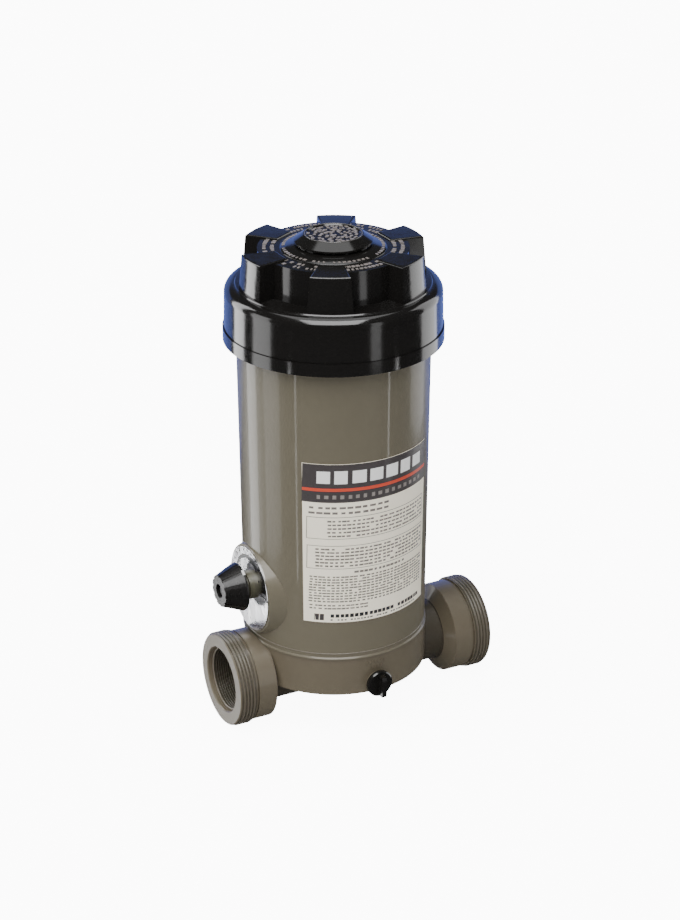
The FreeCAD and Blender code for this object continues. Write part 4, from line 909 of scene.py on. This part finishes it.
def join_shapes(name, shapes, body, material):
    """One piece from many point and face lists, with its faces turned outwards."""
    points, faces = [], []
    for shape_points, shape_faces in shapes:
        base = len(points)
        points += shape_points
        faces += [tuple(v + base for v in face) for face in shape_faces]
    mesh = bpy.data.meshes.new(name)
    mesh.from_pydata(points, [], faces)
    editable = bmesh.new()
    editable.from_mesh(mesh)
    bmesh.ops.recalc_face_normals(editable, faces=editable.faces)
    editable.to_mesh(mesh)
    editable.free()
    mesh.materials.append(material)
    print(f"{name}: {len(mesh.polygons)} faces")
    return keep_mesh(name, mesh, body)


def plate_mark(radius_a, radius_b, degrees, half_width):
    """A radial tick on the plate; half_width is its half width in degrees."""
    sides = (degrees - half_width, degrees + half_width)
    return dial_strip([(radius_a, a) for a in sides], [(radius_b, a) for a in sides],
                      PLATE_FACE - PRINT_DEPTH, PLATE_FACE + PRINT_DEPTH)


# %% Print the scale
ticks = [plate_mark(31.0 * MM, 34.2 * MM, angle, 1.7) for angle in range(-155, 80, 15)]
ticks.append(plate_mark(22.5 * MM, 36.5 * MM, 89, 1.1))
ticks.append(plate_mark(23.3 * MM, 25.7 * MM, 61, 2.8))
CRESCENT = [(angle, (angle + 140) / 180) for angle in range(-140, 44, 4)]
crescent = dial_strip([(24.6 * MM, a) for a, _ in CRESCENT],
                      [((25.2 + 5.0 * grown) * MM, a) for a, grown in CRESCENT],
                      PLATE_FACE - PRINT_DEPTH, PLATE_FACE + PRINT_DEPTH)
join_shapes("dial_ticks", ticks, "vessel", black_ink)
join_shapes("dial_crescent", [crescent], "vessel", black_ink)


# %% Print the plain numbers
def dial_number(text, radius, degrees, height):
    """A plain number on the plate, upright to the valve's axis."""
    letters = bpy.data.curves.new("number", "FONT")
    letters.body = text
    letters.size = height
    letters.align_x = "CENTER"
    letters.align_y = "CENTER"
    letters.extrude = PRINT_DEPTH
    letters.resolution_u = 3
    holder = new_object("number", letters)
    mesh = evaluated_mesh(holder)
    bpy.data.objects.remove(holder)
    facing = Matrix(((0, 0, -1), (-1, 0, 0), (0, 1, 0))).to_4x4()
    upright = Matrix.Rotation(-math.radians(degrees), 4, "Z")
    mesh.transform(Matrix.Translation(on_dial(radius, degrees, PLATE_FACE)) @ facing @ upright)
    whole = bmesh.new()
    whole.from_mesh(mesh)
    bmesh.ops.remove_doubles(whole, verts=whole.verts, dist=0.001 * MM)
    whole.to_mesh(mesh)
    whole.free()
    shape = ([tuple(v.co) for v in mesh.vertices], [tuple(f.vertices) for f in mesh.polygons])
    bpy.data.meshes.remove(mesh)
    return shape


numbers = [dial_number(str(value), 33.0 * MM, angle, 4.4 * MM)
           for value, angle in ((0, 104), (1, 122), (2, 140), (3, 158), (4, 176))]
join_shapes("dial_numbers", numbers, "vessel", black_ink)

# %% [markdown]
# ### The knob's pointer
#
# A white line is filled into the knob's rim and runs a little way up one flute. It turns with
# the knob, so it rides on the dial's body.

# %% Fill in the pointer
KNOB_FOOT = reach("control_knob", HIGH, "x")
KNOB_RADIUS = (reach("control_knob", HIGH, "z") - reach("control_knob", LOW, "z")) / 2
POINTER_AT = 30
POINTER_HALF = 7
pointer_row = range(POINTER_AT - POINTER_HALF, POINTER_AT + POINTER_HALF + 1, 2)
pointer = dial_strip([(KNOB_RADIUS - 0.6 * MM, a) for a in pointer_row],
                     [(KNOB_RADIUS + 0.35 * MM, a) for a in pointer_row],
                     KNOB_FOOT - 1.9 * MM, KNOB_FOOT + 0.2 * MM)
join_shapes("knob_pointer", [pointer], "dial", white_ink)

# %% [markdown]
# ## Small rings and raised marks
#
# A few more forms finish the mouldings: the low crown that rises from the cover's disc to the
# cap, a bead ring round the top of the cap, coloured grey as a painted highlight, the lead-in lip
# of each inside thread, coloured light as a painted highlight, the fillet of cement along the
# seam between tank and drum, and two short rows of raised marks on the drum over the drain.
# Rings are turned from a small outline.


# %% Turn small rings
def turned_ring(name, outline, body, material, axis="z", steps=128, place=0.0):
    """A closed outline of (radius, along) points turned about the z or the x axis."""
    points, faces = [], []
    count = len(outline)
    for step in range(steps):
        turn = 2 * math.pi * step / steps
        for radius, along in outline:
            a, b = radius * math.cos(turn), radius * math.sin(turn)
            points.append((a, b, place + along) if axis == "z" else (place + along, a, b))
        here, after = step * count, (step + 1) % steps * count
        for i in range(count):
            j = (i + 1) % count
            faces.append((here + i, here + j, after + j, after + i))
    piece = join_shapes(name, [(points, faces)], body, material)
    for polygon in piece.data.polygons:
        polygon.use_smooth = True
    return piece


def bead(radius, height, thick, corners=8):
    """The round outline of a bead."""
    return [(radius + thick * math.cos(2 * math.pi * k / corners),
             height + thick * math.sin(2 * math.pi * k / corners)) for k in range(corners)]


CROWN = [(47.5, 400.2), (46.5, 400.9), (33.5, 403.9), (30.9, 404.4), (30.9, 400.2)]
turned_ring("cover_crown", [(r * MM, z * MM) for r, z in CROWN][::-1], "lid", gloss_black)
# the bead's grey is a painted highlight
turned_ring("cap_bead", bead(25.2 * MM, 413.0 * MM, 0.55 * MM), "lid", rim_grey)
turned_ring("seam_fillet", bead(tank_foot_radius + 0.1 * MM, tank_foot + 0.1 * MM, 0.42 * MM),
            "vessel", seam_taupe, steps=192)
# the lip's light taupe is a painted highlight at the start of each inside thread
LIP = [(28.0 * MM, 0.0), (30.15 * MM, 0.0), (30.15 * MM, 0.5 * MM), (28.0 * MM, 0.5 * MM)]
for port, face, way in (("outlet", outlet_face, 1), ("inlet", inlet_face, -1)):
    turned_ring(f"{port}_thread_lip", [(r, way * (4.8 * MM + x)) for r, x in LIP], "vessel",
                lip_taupe, axis="x", place=face)

# %% Raise the marks on the drum
DRUM_RADIUS = 83.7 * MM
DRUM_ROWS = ((31.0, -97.5, -83.5, 7), (26.0, -95.5, -85.5, 5))
for number, (height, left, right, columns) in enumerate(DRUM_ROWS, 1):
    start = math.radians(left) * DRUM_RADIUS
    span = math.radians(right - left) * DRUM_RADIUS
    pitch = span / columns
    grow(f"drum_marks_{number}", printed_rows, "vessel", "taupe_plastic", left=start + pitch / 2,
         width=span - pitch, bottom=height * MM, height=0.0, columns=columns, rows=1,
         bar=(pitch * 0.62, 3.2 * MM, 0.9 * MM), gap_share=0.0, shortest=0.6, seed=30 + number,
         foot_height=0.0, foot_radius=DRUM_RADIUS, taper=0.0, stand=0.0, material=base_taupe)

# %% [markdown]
# ## The floor and the lights
#
# The stage is a wide pale floor. It is left out of mirror rays, as a photographer flags a
# glossy black lid off the table, and glows a little for the camera alone, so that it stays pale
# under a modest light. The walls then mirror only the lamps: upright soft boxes at both sides,
# and a card behind with a blue gel, whose top edge ends where the front half of the cover stops
# seeing it. A wide sun does the lighting proper.


# %% Lay the floor
def build_floor():
    half = 9.0
    mesh = bpy.data.meshes.new("floor")
    low = cad_box[0].z - UNION_HEIGHT
    mesh.from_pydata([(-half, -half, low), (half, -half, low), (half, half, low), (-half, half, low)],
                     [], [(0, 1, 2, 3)])
    floor = new_object("floor", mesh)
    material, tree, shader = new_material("pale_floor")
    place = object_place(tree)
    cloud = add_node(tree, "ShaderNodeTexNoise", Vector=place, Scale=3.0, Detail=3.0)
    tone = add_node(tree, "ShaderNodeMapRange", Value=cloud)
    feed(tree, tone, "To Min", 0.84)
    feed(tree, tone, "To Max", 0.87)
    feed(tree, shader, "Base Color", tone)
    shader.inputs["Roughness"].default_value = 0.9
    shader.inputs["Specular IOR Level"].default_value = 0.1
    seen = add_node(tree, "ShaderNodeLightPath").outputs["Is Camera Ray"]
    shader.inputs["Emission Color"].default_value = (1, 1, 1, 1)
    feed(tree, shader, "Emission Strength", calc(tree, "MULTIPLY", seen, FLOOR_GLOW))
    mesh.materials.append(material)
    floor.visible_glossy = False
    return floor


FLOOR_GLOW = 10.0
AIR = 0.35
AIR_MIRRORED = 0.07
build_floor()


# %% Hang the lights
def stand_at(name, lamp, bearing, distance, height, look):
    """Places a lamp; bearing is in degrees round the axis, away from the camera."""
    where = math.radians(bearing) + math.atan2(to_camera.y, to_camera.x)
    spot = Vector((math.cos(where) * distance, math.sin(where) * distance, height))
    stand = new_object(name, lamp)
    stand.location = spot
    stand.rotation_euler = (look - spot).to_track_quat("-Z", "Y").to_euler()
    return stand


def glow_box(name, bearing, distance, height, width, tall, power, look_height, colour=(1, 1, 1)):
    """A rectangular lamp that shows only in reflections and faces a height on the vessel's axis."""
    lamp = bpy.data.lights.new(name, "AREA")
    lamp.shape = "RECTANGLE"
    lamp.size, lamp.size_y = width, tall
    lamp.energy = power
    lamp.color = colour
    stand = stand_at(name, lamp, bearing, distance, height, Vector((0, 0, look_height)))
    stand.visible_diffuse = False


def soft_box(name, bearing, distance, low, high, width, power, colour=(1, 1, 1)):
    """An upright lamp of that kind between two heights."""
    height = (low + high) / 2
    glow_box(name, bearing, distance, height, width, high - low, power, height, colour)


sun = bpy.data.lights.new("wide_sun", "SUN")
sun.energy = 4.1
sun.angle = math.radians(60)
stand_at("wide_sun", sun, -25, 1.5, 2.6, Vector((0, 0, 0.2))).visible_glossy = False
COVER_HEIGHT = 0.38
glow_box("top_box", 0, 0.92, 1.69, 1.4, 1.5, 80, COVER_HEIGHT)
glow_box("zenith_box", 180, 0.25, 2.1, 1.6, 1.2, 17, COVER_HEIGHT)
soft_box("left_back_strip", -113, 1.5, -1.15, 1.6, 0.50, 36)
soft_box("left_strip", -78, 1.5, -0.62, 0.9, 0.62, 13)
soft_box("right_back_strip", 117, 1.5, -0.42, 1.6, 0.85, 19)
soft_box("right_strip", 43, 1.5, -0.24, 0.9, 0.28, 2.4)
soft_box("left_hairline", -45, 1.5, -0.66, -0.26, 0.05, 1.1)
soft_box("right_hairline", 67, 1.5, -0.66, -0.26, 0.06, 1.3)
BLUE = (0.16, 0.24, 0.80)
soft_box("blue_card", 180, 1.0, -0.30, 0.728, 2.6, 12, BLUE)

world = bpy.data.worlds.new("studio_air")
world.use_nodes = True
air = world.node_tree
rays = add_node(air, "ShaderNodeLightPath")
air.nodes["Background"].inputs["Color"].default_value = (0.95, 0.97, 1.0, 1)
mirrored = calc(air, "MULTIPLY", rays.outputs["Is Glossy Ray"], AIR_MIRRORED - AIR)
seen = calc(air, "MULTIPLY", rays.outputs["Is Camera Ray"], FLOOR_GLOW)
air.links.new(calc(air, "ADD", calc(air, "ADD", mirrored, seen), AIR),
              air.nodes["Background"].inputs["Strength"])
bpy.context.scene.world = world
print("lights:", len(bpy.data.lights))
